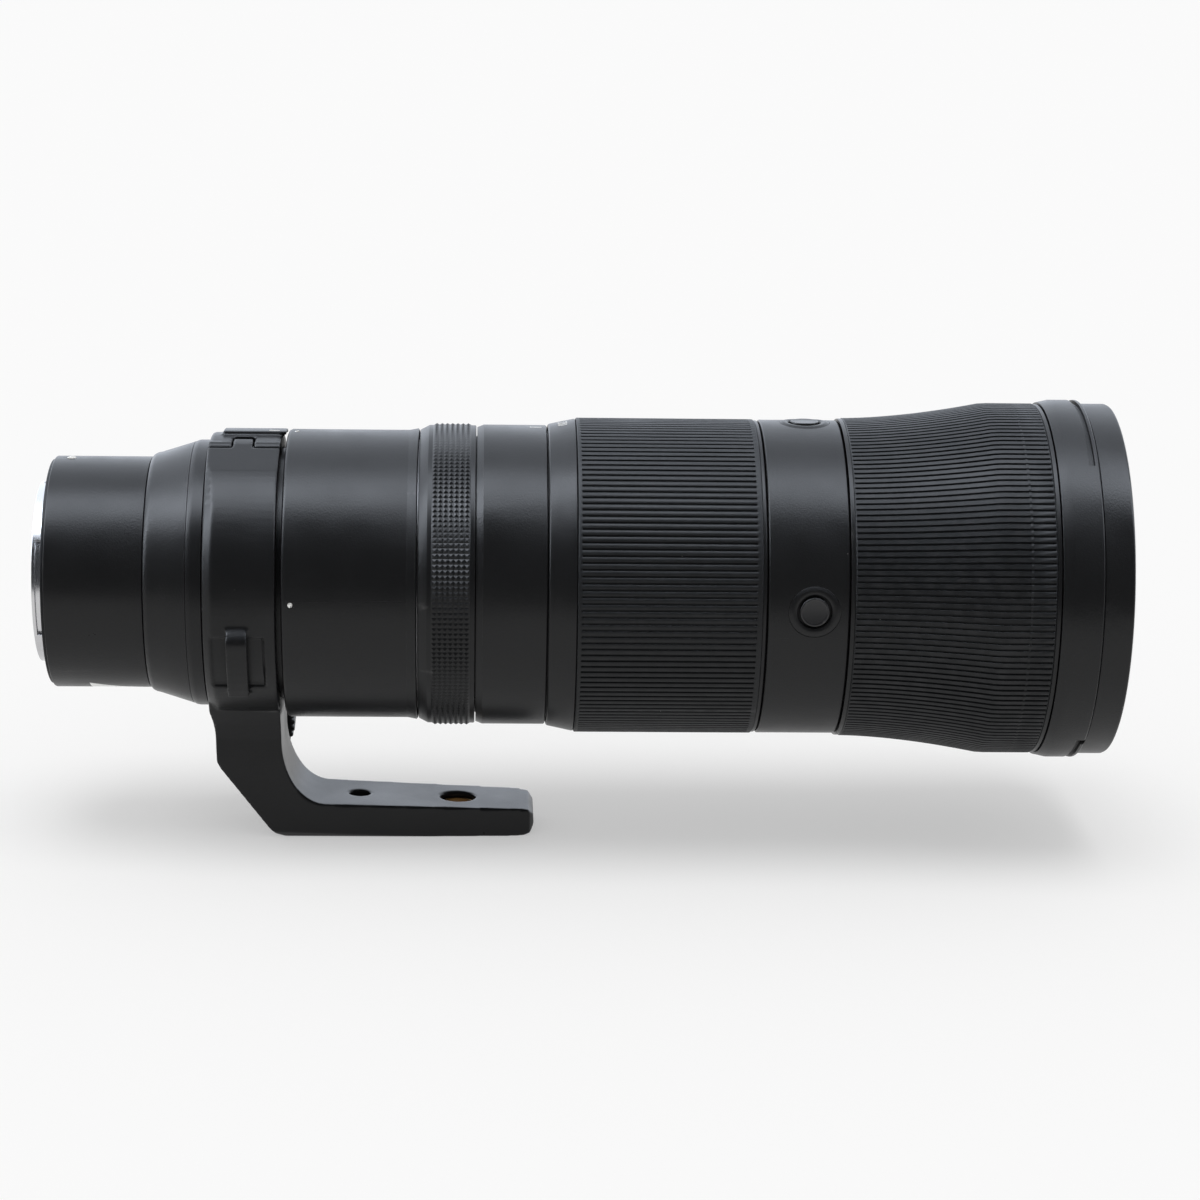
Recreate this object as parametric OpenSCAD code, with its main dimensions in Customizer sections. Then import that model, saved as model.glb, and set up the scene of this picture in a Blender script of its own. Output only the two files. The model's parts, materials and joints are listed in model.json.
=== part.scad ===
// Long zoom lens with an inside zoom, a turning tripod collar and four push buttons.
// The lens lies along X with its mount flange at zero and its front towards +X.
// Up is +Z. Places around the barrel are given as an elevation in degrees: 0 is the
// side that faces -Y, 90 is the top, 180 the far side and 270 the underside.

/* [Lens mount] */
// Radius of the metal flange that meets the camera
flange_r = 31.5; // [31:0.1:31.9]
// Thickness of the metal flange
flange_t = 1.2; // [1:0.1:1.6]
// Outer radius of the bayonet sleeve
sleeve_r = 26.9; // [26.6:0.1:27.1]
// Length of the bayonet sleeve behind the flange
sleeve_len = 3.1; // [3.1:0.1:4]
// Clear radius of the rear throat
throat_r = 19.8; // [19:0.1:20.2]

/* [Rear barrel] */
// Outer radius of the barrel next to the camera
mount_barrel_r = 34.5; // [34.2:0.1:35.5]
// Length of that barrel
mount_barrel_len = 28.6; // [28:0.1:31]
// Length of the cone that widens towards the collar
cone_len = 12.6; // [12.2:0.1:13.8]
// How far the wide end of the cone lies inside the collar ring
shoulder_drop = 2.8; // [2.3:0.1:3.2]

/* [Tripod collar] */
// Width of the collar along the lens
collar_w = 21.2; // [21:0.1:23]
// Outer radius of the collar ring
collar_r = 42.5; // [42.3:0.1:43]
// Radial thickness of the collar ring
collar_t = 4.8; // [4.6:0.1:5]
// Elevation of the collar's hinge pin
hinge_e = 77; // [76:0.5:79]
// Distance from the lens axis down to the underside of the foot
foot_drop = 78.7; // [77:0.1:84]
// Length of the foot from the rear of the neck to its front end
foot_reach = 95; // [92:0.5:104]
// Width of the foot at its rear
foot_rear_w = 29; // [28:0.1:30]
// Width of the foot near its front end
foot_front_w = 23.6; // [22.5:0.1:27]
// Radius of the clamp knob
knob_r = 11.4; // [10.8:0.1:12]

/* [Fixed barrels] */
// How far the main barrel stands out beyond the collar ring
main_step = 0.6; // [0.5:0.1:1]
// Length of the main barrel
main_barrel_len = 39; // [38:0.1:42]
// How far the barrel between the control ring and the zoom ring stands out beyond the main one
mid_step = 1.8; // [1.7:0.1:2.1]
// Length of that barrel
mid_barrel_len = 20.7; // [20:0.1:23]
// How far the barrel that holds the push buttons stands out beyond that one
button_step = 2.2; // [2:0.1:2.4]
// Length of that barrel
button_barrel_len = 23.5; // [23:0.1:26]
// How far the ring that takes the hood stands out beyond the front rim
hood_step = 1.1; // [0.8:0.1:1.8]
// Length of that ring
hood_ring_len = 11.9; // [11.4:0.1:13]
// Outer radius of the front rim
front_rim_r = 52.8; // [52.4:0.1:53.2]
// Length of the front rim
front_rim_len = 8.8; // [8.4:0.1:10]
// Wall of the front rim round the filter thread
rim_wall = 5.3; // [5:0.1:5.5]

/* [Turning rings] */
// How far the knurls of the control ring stand out beyond the main barrel
knurl_step = 2.1; // [1.9:0.1:2.6]
// Length of the control ring
control_ring_len = 16.6; // [16:0.1:18]
// Length of the zoom ring
zoom_ring_len = 62.8; // [62:0.1:68]
// Length of the smooth stretch that carries the zoom scale
scale_len = 8.3; // [7.6:0.1:9]
// How far the zoom ring's rubber stands out beyond the barrel behind it
zoom_step = 2.3; // [2.2:0.1:2.7]
// Number of ribs around the zoom grip
zoom_ribs = 150; // [120:1:160]
// Length of the focus ring
focus_ring_len = 60; // [59:0.1:64]
// How far the rear of the focus grip stands out beyond the button barrel
focus_rear_step = 0.7; // [0.5:0.1:1]
// How much smaller than the front rim the focus grip is at its front
focus_step = 0.1; // [0:0.05:0.4]
// Thickness of the rubber of both grips
grip_t = 1.8; // [1.6:0.1:2]

/* [Push buttons and switches] */
// Radius of a push button
button_r = 4.2; // [3.8:0.1:4.5]
// Outer radius of the raised rim round a push button
bezel_r = 7.5; // [7:0.1:8]
// Inner radius of that rim
bezel_in_r = 4.95; // [4.85:0.05:5.2]
// How far a push button goes in
button_travel = 0.5; // [0.3:0.05:0.6]
// How far a slide switch moves
switch_travel = 3; // [2.4:0.1:3.2]

/* [Inner tubes] */
// How far the fixed guide tube lies inside the barrel round it
guide_inset = 4.7; // [4.6:0.1:4.9]
// Wall of the guide tube
guide_t = 1.6; // [1.5:0.1:1.8]
// Wall of the turning cam tube
cam_t = 1.1; // [1:0.1:1.2]
// How far the front zoom group moves over the zoom range
front_group_travel = 22; // [18:0.5:23]
// How far the rear zoom group moves over the zoom range
rear_group_travel = 10; // [6:0.5:11]
// Angle that the zoom ring turns over the zoom range
zoom_turn = 70; // [60:1:72]
// How far the focus group moves
focus_travel = 16; // [12:0.5:17]

/* [Hidden] */

// Smoothness of the round parts
round_fn = 180;
small_fn = 48;
steps = 8;

// Gaps and fits that all pieces share
seam = 0.3;
joint_gap = 0.1;
run_gap = 0.3;
slide_fit = 0.05;
glue_fit = 0.02;
cut_over = 1;
edge = 0.4;
soft_edge = 1.2;
corner_share = 0.3;
shell_t = 2;

// Radii of the barrels and rings, each from its neighbour behind
shoulder_r = collar_r - shoulder_drop;
cone_end_drop = 0.55;
cone_end_r = shoulder_r - cone_end_drop;
main_barrel_r = collar_r + main_step;
control_ring_r = main_barrel_r + knurl_step;
mid_barrel_r = main_barrel_r + mid_step;
guide_r = mid_barrel_r - guide_inset;
zoom_grip_r = mid_barrel_r + zoom_step;
button_barrel_r = mid_barrel_r + button_step;
focus_rear_r = button_barrel_r + focus_rear_step;

// Stations along the lens, each from the pieces behind it
mount_barrel_end = flange_t + mount_barrel_len;
cone_from = mount_barrel_end + joint_gap;
cone_end = cone_from + cone_len;
seat_from = cone_end + joint_gap;
collar_side_gap = 0.3;
shoulder_w = 4.5;
collar_from = seat_from + shoulder_w + collar_side_gap;
collar_end = collar_from + collar_w;
collar_front_gap = 1.6;
main_from = collar_end + collar_front_gap;
main_end = main_from + main_barrel_len;
control_from = main_end + seam;
control_end = control_from + control_ring_len;
mid_from = control_end + seam;
mid_end = mid_from + mid_barrel_len;
zoom_from = mid_end + seam;
zoom_end = zoom_from + zoom_ring_len;
button_from = zoom_end + seam;
button_end = button_from + button_barrel_len;
focus_from = button_end + seam;
focus_end = focus_from + focus_ring_len;
hood_from = focus_end + seam;
hood_end = hood_from + hood_ring_len;
rim_from = hood_end + seam;
rim_end = rim_from + front_rim_len;

// Mount details
sleeve_t = 2.5;
sleeve_in_r = sleeve_r - sleeve_t;
claw_h = 1;
claw_w = 1;
claw_count = 3;
claw_span = 64;
liner_gap = 0.2;
liner_setback = 0.4;
liner_depth = 8;
pin_count = 11;
pin_r = 0.5;
pin_pitch = 4.6;
pin_ring_r = (throat_r + sleeve_in_r) / 2;
pin_proud = 0.3;
pin_len = 2.2;
pin_fit = 0.1;
screw_count = 4;
screw_ring_r = (sleeve_r + flange_r) / 2;
screw_head_r = 1.5;
screw_head_t = 0.6;
screw_shank_r = 0.8;
screw_len = 3;
screw_fit = 0.05;
screw_slot_w = 0.5;
screw_slot_t = 0.3;
screw_first_e = 45;
gasket_in_gap = 0.3;
gasket_w = 1.7;
gasket_t = 0.9;
mount_plate_t = 2.5;

// Recess for a blank plate under the mount barrel
plate_from = 12;
plate_len = 13.6;
plate_rear_half_w = 17;
plate_front_half_w = 9.5;
plate_depth = 0.3;

// Rear optics
rear_cell_r = 22;
rear_cell_t = 2.4;
rear_cell_from = liner_depth + seam;
rear_flange_t = 2.5;
rear_flange_setback = 1.4;
rear_flange_from = cone_from + rear_flange_setback;
rear_glass_setback = 5;
rear_glass_from = rear_cell_from + rear_glass_setback;
rear_glass_t = 5.5;
rear_bulge = 1.6;
cone_set_in = 0.2;
cone_round_len = 2.6;
cone_round_h = 1.7;
// Shares of length and height for the rounded start of the cone
cone_round_shares = [[0, 0], [0.05, 0.3], [0.25, 0.62], [0.6, 0.87], [1, 1]];
seat_round_len = 1.7;
seat_round_share = 0.72;
cone_wall_step = 6;

// Seat of the collar and the tube in front of it
collar_in_r = collar_r - collar_t;
seat_r = collar_in_r - run_gap;
seat_wall = 2.4;
seat_in_r = seat_r - seat_wall;
inner_tube_t = 1.8;
inner_tube_r = seat_in_r + inner_tube_t;
web_t = 4;
web_h = 9;
web_in_r = seat_in_r - web_h;
web_setback = 9;
web_end = main_end - web_setback;
web_from = web_end - web_t;
main_in_r = main_barrel_r - shell_t;
main_lip_t = 1.4;
main_flare = 0.5;
main_flare_len = 2.5;
mid_bevel = 2;
mid_bevel_h = 0.8;
seat_step = main_from + edge;

// Marks let into the barrels
dot_r = 0.75;
mount_dot_r = 1.35;
mount_dot_top_share = 0.75;
mount_dot_proud = 0.4;
mark_depth = 0.3;
mark_proud = 0.05;
mount_dot_x = 6.2;
barrel_dot_setback = 2.8;
barrel_dot_x = main_from + barrel_dot_setback;
zoom_mark_len = 3.6;
zoom_mark_w = 0.6;
zoom_mark_gap = 1.6;
zoom_mark_x = mid_end - zoom_mark_gap - zoom_mark_len / 2;

// Switch panel on the far side
panel_len = 25;
panel_half_w = 12.5;
panel_proud = 0.2;
panel_fit = 0.15;
panel_mid = (main_from + main_end) / 2;
panel_out_r = main_barrel_r + panel_proud;
panel_sink = 0.2;
panel_in_r = main_in_r + panel_sink;
switch_offset = 8;
switch_len = 7;
switch_w = 5;
switch_h = 1.5;
switch_stem_len = 5.4;
switch_stem_w = 2.4;
switch_plate_len = 9.5;
switch_plate_t = 0.9;
switch_ribs = 4;
switch_rib_w = 0.6;
switch_rib_h = 0.5;

// Circuit board behind the switch panel
board_setback = 1.2;
board_from = seat_step + main_lip_t + board_setback;
board_t = 1.2;
board_gap = 0.3;
chip_w = 2.2;
chip_t = 1;
chip_count = 8;

// Iris and stabiliser inside the collar seat
unit_r = seat_in_r - seam;
iris_setback = 3;
iris_from = collar_from + iris_setback;
iris_len = 8;
iris_bore_r = 18;
iris_slot_inset = 3.7;
iris_slot_r = unit_r - iris_slot_inset;
iris_slot_w = 3.4;
blade_count = 9;
blade_t = 0.2;
blade_r_in = 19;
blade_w = 5;
blade_span = 78;
vr_gap = 6;
vr_from = iris_from + iris_len + vr_gap;
vr_len = 18;
vr_wall = 2;
vr_back_t = 2.5;
vr_play = 0.4;
vr_plate_t = 3;
vr_plate_gap = 5.7;
vr_plate_r = unit_r - vr_plate_gap;
vr_cell_len = 7.5;
vr_plate_lip = 4;
vr_cell_r = vr_plate_r - vr_plate_lip;
vr_glass_r = 17;
vr_glass_t = 4.5;
vr_bulge = 1;
vr_cell_from = vr_from + vr_back_t + vr_plate_t + 2 * vr_play;

// Guide tube, focus drive and focus group
rib_t = 3;
guide_in_r = guide_r - guide_t;
focus_cell_gap = 3.6;
focus_cell_r = guide_in_r - focus_cell_gap;
rod_inset = 5;
rod_ring_r = focus_cell_r - rod_inset;
rib_in_r = rod_ring_r - rod_inset;
guide_from = web_end;
guide_end = button_end - shell_t;
rod_r = 1.5;
rod_stub = 3;
motor_r = 5.2;
motor_len = 13;
screw_r = 1.5;
journal_r = 1;
journal_len = 2.4;
cell_len = 10;
cell_gap = 5;
focus_cell_from = web_end + motor_len + cell_gap;
rib_from = focus_cell_from + cell_len + focus_travel + 2 * run_gap;
focus_glass_r = 21;
focus_glass_t = 5;
focus_bulge = 1.2;

// Control ring and its sleeve
sleeve_gap = 0.2;
control_sleeve_t = 1;
control_sleeve_r = guide_r + sleeve_gap + control_sleeve_t;
control_sleeve_in_r = guide_r + sleeve_gap;
control_in_r = control_sleeve_r + run_gap;
knurl_count = 180;
knurl_depth = 0.6;
knurl_rear_w = 4;
knurl_front_w = 1.6;
knurl_from = control_from + knurl_rear_w;
knurl_end = control_end - knurl_front_w;
control_step = 0.4;
control_rear_r = main_barrel_r + control_step;
control_edge_r = control_ring_r - knurl_depth - edge / 4;

// Cam tube and zoom groups
cam_in_r = guide_r + run_gap;
cam_r = cam_in_r + cam_t;
zoom_sleeve_t = 1.1;
zoom_in_r = cam_r + run_gap + zoom_sleeve_t + run_gap;
zoom_sleeve_r = zoom_in_r - run_gap;
zoom_sleeve_in_r = cam_r + run_gap;
zoom_sleeve_len = 5.6;
cam_setback = 3;
cam_front_gap = 3;
barrel_web_t = 4;
cam_from = mid_end + cam_setback;
cam_end = guide_end - barrel_web_t - cam_front_gap;
drive_w = 4;
drive_from = zoom_from + (zoom_ring_len - drive_w) / 2;
follower_r = 2;
cam_fit = 0.15;
cam_steps = 6;
group_r = guide_in_r - run_gap;
rear_group_setback = 8;
rear_group_from = cam_from + rear_group_setback;
rear_group_len = 15;
rear_glass_inset = 10.3;
rear_glass_r = group_r - rear_glass_inset;
front_group_len = 18;
group_gap = 2;
front_group_from = rear_group_from + rear_group_len + rear_group_travel + group_gap;
front_glass_inset = 6.3;
front_glass_r = group_r - front_glass_inset;
group_glass_t = 7;
group_bulge = 1.6;
follower_setback = 6;
front_follower_x = front_group_from + follower_setback;
rear_follower_x = rear_group_from + follower_setback;
cam_count = 3;
front_cam_e = 30;
rear_cam_e = 90;

// Zoom ring
scale_step = 0.4;
grip_proud = 0.3;
scale_rear_r = mid_barrel_r + scale_step;
scale_front_r = zoom_grip_r - grip_proud;
zoom_bed_r = zoom_grip_r - grip_t - glue_fit;
lip_w = 1.2;
rib_depth = 0.5;
rib_share = 0.6;
grip_from = zoom_from + scale_len;
grip_end = zoom_end - lip_w;

// Button barrel
button_place_share = 0.57;
button_x = button_from + button_barrel_len * button_place_share;
pocket_depth = 1.7;
pocket_floor_r = button_barrel_r - pocket_depth;
button_wall = 3.7;
button_in_r = button_barrel_r - button_wall;
bezel_proud = 0.35;
bezel_fit = 0.05;
button_proud = 0.45;
button_cap_t = 1.35;
button_stem_r = 2;
button_stem_over = 0.3;
button_stem_end_r = button_in_r - button_stem_over;

// Radii at the front, all from the front rim
filter_r = front_rim_r - rim_wall;
hood_ring_r = front_rim_r + hood_step;
focus_front_r = front_rim_r - focus_step;

// Focus ring: the grip swells along a power curve and then runs level
flare_share = 0.72;
flare_power = 1.7;
flare_steps = 12;
flare_from = focus_from + lip_w;
flare_len = focus_ring_len * flare_share - lip_w;
carrier_t = 1.6;
focus_grip_from = focus_from + lip_w;
focus_grip_end = focus_end - lip_w;
focus_lip_drop = 0.15;

// Front barrel, glass and rims
front_tube_gap = 2;
front_seat_t = 3;
front_lip_h = 4.8;
filter_step = 0.5;
front_glass_setback = 4;
rear_tube_in_r = guide_r + front_tube_gap;
front_glass_seat_r = filter_r - filter_step;
front_tube_in_r = front_glass_seat_r - front_lip_h;
front_seat_r = front_glass_seat_r + front_seat_t;
front_glass_from = hood_from - front_glass_setback;
front_glass_t = 8;
front_bulge = 5;
front_back_bulge = 1;
second_glass_t = 8;
second_gap = 8;
second_from = front_glass_from - second_gap - second_glass_t;
second_bulge = 2;
retainer_steps = 4;
retainer_w = 2.2;
retainer_from = front_glass_from + front_back_bulge + front_glass_t + glue_fit;
retainer_rise = front_bulge * (1 - pow((front_glass_seat_r - retainer_w) / front_glass_seat_r, 2));
hood_bevel_h = 0.8;
hood_rear_r = hood_ring_r - hood_bevel_h;
hood_bevel = 3.6;
slot_w = 1.6;
slot_depth = 1.3;
slot_setback = 1.2;
slot_half_span = 40;
notch_span = 3;
thread_len = 6;
rim_edge = 1;

// Collar hinge, neck, foot and clamp
collar_bevel = 2.8;
collar_bevel_h = 1.9;
bevel_out_e = 70;
bevel_full_e = 42;
bevel_steps = 8;
arm_drop = 0.5;
arm_r = collar_r - arm_drop;
arm_edge = 1.1;
pin_hinge_r = 1;
hinge_fit = 0.05;
knuckle_r = collar_t / 2;
hinge_ring_r = collar_r - knuckle_r;
tab_w = 5.8;
tab_setback = 7.3;
tab_from = collar_from + tab_setback;
tab_end = tab_from + tab_w;
shoulder_back_e = 4;
notch_over_e = 9.2;
tongue_over_e = 3.6;
split_e = 0.9;
shoulder_e = hinge_e - shoulder_back_e;
notch_e = hinge_e + notch_over_e;
tongue_end_e = hinge_e + tongue_over_e;
arm_end_e = 237.5;
lower_from_e = arm_end_e + split_e - 360;
web_in_back_e = 1;
web_in_over_e = 8;
web_step_e = 3;
web_out_back_e = 18;
facet_e = 66;
facet_drop = 0.55;
facet_w = 16;
pad_from_e = 88;
pad_end_e = 103;
pad_h = 0.75;
pad_rear_inset = 3.8;
pad_over = 1.2;
pad_gap = 0.1;
mark_line_len = 3.2;
mark_line_w = 0.6;
mark_line_inset = 0.8;

neck_inset = 1.9;
neck_from = collar_from + neck_inset;
neck_len = 19.2;
neck_end = neck_from + neck_len;
// Shares of the foot's reach and drop for its side view, from the heel round the toe
heel_shares = [[-0.0195, 0.42], [-0.0195, 0.485], [-0.0135, 0.515], [-0.009, 0.541], [-0.0055, 0.575],
    [-0.0035, 0.617], [-0.002, 0.7], [0.011, 0.727], [0.161, 0.96], [0.182, 0.986], [0.212, 1]];
toe_shares = [[0.965, 1], [0.99, 0.989], [1, 0.961], [0.998, 0.92], [0.982, 0.897], [0.95, 0.891]];
throat_top_share = 0.61;
foot_top_share = 0.867;
throat_len = 13.5;
corner_step_e = 5;
// Shares of the foot's rear width and drop for its outline seen along the lens
neck_root_w = 46;
neck_root_share = 0.42;
neck_waist_share = 0.6;
far_root_w = 18.5;
foot_corner = 2;
plan_front_share = 0.92;
toe_corner_share = 0.985;
toe_w_share = 0.7;
toe_side_share = 0.92;
near_root_share = 0.7;

small_thread_r = 3.175;
large_thread_r = 4.7625;
small_thread_share = 0.443;
large_thread_share = 0.757;
small_thread_x = neck_from + foot_reach * small_thread_share;
large_thread_x = neck_from + foot_reach * large_thread_share;
insert_r = 6.4;
insert_len = 7.2;
insert_mouth_r = 5.4;

hinge_y = -hinge_ring_r * cos(hinge_e);
hinge_z = hinge_ring_r * sin(hinge_e);
clamp_shift = 1;
clamp_x = (collar_from + collar_end) / 2 + clamp_shift;
boss_proud = 2.6;
clamp_drop_share = 0.712;
clamp_y = foot_rear_w / 2 + boss_proud;
clamp_z = -foot_drop * clamp_drop_share;
clamp_tilt = atan2(clamp_y - hinge_y, hinge_z - clamp_z);
boss_r = 8;
boss_len = 7;
lug_t = 7;
lug_half_w = 8;
stud_r = 2.5;
stud_depth = 8;
stud_play = 0.6;
stud_fit = 0.2;
knob_t = 9;
knob_from = lug_t + 2 * run_gap;
knob_grip_count = 30;
knob_grip_depth = 0.9;
knob_socket = 5;
knob_dish_r = 8;
knob_dish_t = 1;

// Strap bar on the side of the collar
bar_from_e = -8.9;
bar_bend_e = 5;
bar_round_e = 3;
bar_round_share = 0.4;
bar_round_steps = 5;
bar_steps = 6;
bar_foot_bend_e = 4;
bar_foot_back_e = 2;
bar_end_e = -43.5;
bar_proud = 3.6;
bar_foot_share = 0.5;
bar_t = 1.6;
bar_w = 6.1;
bar_setback = 10.1;
bar_x = collar_from + bar_setback;
strap_recess_t = 1;
strap_recess_inset = 2.3;
strap_recess_from = collar_from + strap_recess_inset;
strap_recess_len = 15.5;
strap_recess_from_e = -39.5;
strap_recess_end_e = -14.1;

function at(r, e) = [-r * cos(e), r * sin(e)];
function mix(a, b, share) = a + (b - a) * share;
bar_round_corner = at(collar_r + bar_proud, bar_from_e - bar_bend_e);
bar_round_from = mix(bar_round_corner, at(collar_r - edge, bar_from_e), bar_round_share);
bar_round_end = at(collar_r + bar_proud, bar_from_e - bar_bend_e - bar_round_e);
function flare_r(x) = mix(focus_rear_r, focus_front_r,
    pow(min(1, max(0, (x - flare_from) / flare_len)), flare_power));
function stations(from, end) = concat([from],
    [for (i = [0:flare_steps]) let(x = flare_from + flare_len * i / flare_steps)
        if (x > from + edge && x < end - edge) x], [end]);
function reverse(list) = [for (i = [len(list) - 1:-1:0]) list[i]];

// Turned piece from points of radius and station
module lathe(outline) rotate([0, 90, 0]) rotate_extrude($fn = round_fn) polygon(outline);

// Plain turned ring
module band(r_out, r_in, from, end)
    lathe([[r_in, from], [r_out, from], [r_out, end], [r_in, end]]);

// Turned ring with broken outer edges
module rounded_band(r_out, r_in, from, end, cut)
    lathe([[r_in, from], [r_out - cut, from], [r_out - cut * corner_share, from + cut * corner_share],
        [r_out, from + cut], [r_out, end - cut], [r_out - cut * corner_share, end - cut * corner_share],
        [r_out - cut, end], [r_in, end]]);

// Round rod along the lens
module rod(r, from, end, place = [0, 0])
    translate([from, place[0], place[1]]) rotate([0, 90, 0])
        cylinder(r = r, h = end - from, $fn = small_fn);

// Round rod along a radius of the lens
module radial_rod(r, x, e, from_r, end_r)
    rotate([-e, 0, 0]) translate([x, -from_r, 0]) rotate([90, 0, 0])
        cylinder(r = r, h = end_r - from_r, $fn = small_fn);

// Block along a radius of the lens, turned about that radius
module radial_block(l, w, x, e, from_r, end_r, turn = 0)
    rotate([-e, 0, 0]) translate([x, 0, 0]) rotate([0, turn, 0])
        translate([-l / 2, -end_r, -w / 2]) cube([l, end_r - from_r, w]);

// Wedge of the lens between two elevations
module sector(from_e, end_e, from, end)
    translate([from, 0, 0]) rotate([90, 0, 90]) linear_extrude(end - from)
        polygon(concat([[0, 0]], [for (i = [0:steps])
            at(2 * collar_r, mix(from_e, end_e, i / steps))]));

// Outline across the lens, in across and up, carried along the lens
module across(outline, from, end)
    translate([from, 0, 0]) rotate([90, 0, 90]) linear_extrude(end - from) polygon(outline);

// Glass with two domed faces
module glass(r, from, t, rear_bulge_h, front_bulge_h)
    lathe(concat(
        [for (i = [0:steps]) let(s = i / steps) [r * s, from - rear_bulge_h * (1 - s * s)]],
        [for (i = [steps:-1:0]) let(s = i / steps)
            [r * s, from + t + front_bulge_h * (1 - s * s)]]));

module bayonet_mount() color("silver") difference() {
    union() {
        rounded_band(flange_r, sleeve_in_r, 0, flange_t, edge);
        band(sleeve_r - claw_h, sleeve_in_r, -sleeve_len, 0);
        band(sleeve_r, sleeve_in_r, -sleeve_len, -sleeve_len + claw_w);
        for (i = [0:claw_count - 1]) intersection() {
            band(sleeve_r, sleeve_in_r, -sleeve_len, 0);
            sector(claw_span / 2 + i * 360 / claw_count,
                360 / claw_count - claw_span / 2 + i * 360 / claw_count, -sleeve_len, 0);
        }
    }
    for (i = [0:screw_count - 1]) rotate([i * 360 / screw_count + screw_first_e, 0, 0]) {
        rod(screw_shank_r + screw_fit, -cut_over, flange_t + cut_over, [0, screw_ring_r]);
        rod(screw_head_r + screw_fit, -cut_over, screw_head_t + screw_fit, [0, screw_ring_r]);
    }
}

module mount_screws() color("gainsboro")
    for (i = [0:screw_count - 1]) rotate([i * 360 / screw_count + screw_first_e, 0, 0])
        difference() {
            union() {
                rod(screw_head_r, screw_fit, screw_head_t, [0, screw_ring_r]);
                rod(screw_shank_r, screw_head_t, screw_len, [0, screw_ring_r]);
            }
            translate([0, -screw_slot_w / 2, screw_ring_r - screw_head_r])
                cube([screw_slot_t, screw_slot_w, 2 * screw_head_r]);
            translate([0, -screw_head_r, screw_ring_r - screw_slot_w / 2])
                cube([screw_slot_t, 2 * screw_head_r, screw_slot_w]);
        }

module mount_gasket() color("dimgray")
    band(flange_r + gasket_in_gap + gasket_w, flange_r + gasket_in_gap,
        flange_t - gasket_t, flange_t);

module rear_liner() color("black") difference() {
    band(sleeve_in_r - liner_gap, throat_r, -sleeve_len + liner_setback, liner_depth);
    contact_holes(pin_r + pin_fit);
}

// Row of holes or pins along the lower side of the throat
module contact_holes(r)
    for (i = [0:pin_count - 1])
        rod(r, -sleeve_len + liner_setback - pin_proud, -sleeve_len + liner_setback + pin_len,
            at(pin_ring_r, 270 + (i - (pin_count - 1) / 2) * pin_pitch));

module contact_pins() color("gold") contact_holes(pin_r);

module mount_barrel() color("dimgray") difference() {
    union() {
        rounded_band(mount_barrel_r, mount_barrel_r - shell_t, flange_t, mount_barrel_end, edge);
        band(mount_barrel_r - shell_t / 2, sleeve_in_r, flange_t, flange_t + mount_plate_t);
    }
    for (i = [0:screw_count - 1]) rotate([i * 360 / screw_count + screw_first_e, 0, 0])
        rod(screw_shank_r + screw_fit, 0, screw_len + screw_fit, [0, screw_ring_r]);
    radial_rod(mount_dot_r, mount_dot_x, 90, mount_barrel_r - mark_depth, mount_barrel_r + cut_over);
    intersection() {
        band(mount_barrel_r + cut_over, mount_barrel_r - plate_depth, plate_from,
            plate_from + plate_len);
        translate([plate_from, 0, -mount_barrel_r - cut_over]) linear_extrude(mount_barrel_r)
            polygon([[0, -plate_rear_half_w], [plate_len, -plate_front_half_w],
                [plate_len, plate_front_half_w], [0, plate_rear_half_w]]);
    }
}

module rear_cone() color("dimgray")
    lathe(concat([[mount_barrel_r - shell_t, cone_from]],
        [for (s = cone_round_shares) [mount_barrel_r - cone_set_in + cone_round_h * s[1],
            cone_from + cone_round_len * s[0]]],
        [[cone_end_r, cone_end], [cone_end_r - shell_t, cone_end],
        [cone_end_r - shell_t, cone_end - cone_len / 8],
        [mount_barrel_r - shell_t, cone_from + cone_wall_step]]));

module rear_cell() color("black")
    lathe([[rear_cell_r - rear_cell_t, rear_cell_from], [rear_cell_r, rear_cell_from],
        [rear_cell_r, rear_flange_from],
        [mount_barrel_r - shell_t - seam, rear_flange_from],
        [mount_barrel_r - shell_t - seam, rear_flange_from + rear_flange_t],
        [rear_cell_r, rear_flange_from + rear_flange_t], [rear_cell_r, seat_from],
        [rear_cell_r - rear_cell_t, seat_from]]);

module rear_element() color("lightsteelblue")
    glass(rear_cell_r - rear_cell_t - glue_fit, rear_glass_from, rear_glass_t,
        rear_bulge, rear_bulge / 2);

module collar_seat() color("dimgray") difference() {
    lathe([[seat_in_r, seat_from], [cone_end_r, seat_from],
        [mix(cone_end_r, shoulder_r, seat_round_share), seat_from + seat_round_len / 2],
        [shoulder_r, seat_from + seat_round_len], [shoulder_r, seat_from + shoulder_w],
        [seat_r, seat_from + shoulder_w], [seat_r, seat_step], [inner_tube_r, seat_step],
        [inner_tube_r, web_from], [main_in_r - seam, web_from], [main_in_r - seam, web_end],
        [web_in_r, web_end], [web_in_r, web_from], [seat_in_r, web_from]]);
    for (e = [0, 180])
        rod(rod_r + glue_fit, web_end - rod_stub, web_end + cut_over, at(rod_ring_r, e));
}

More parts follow.
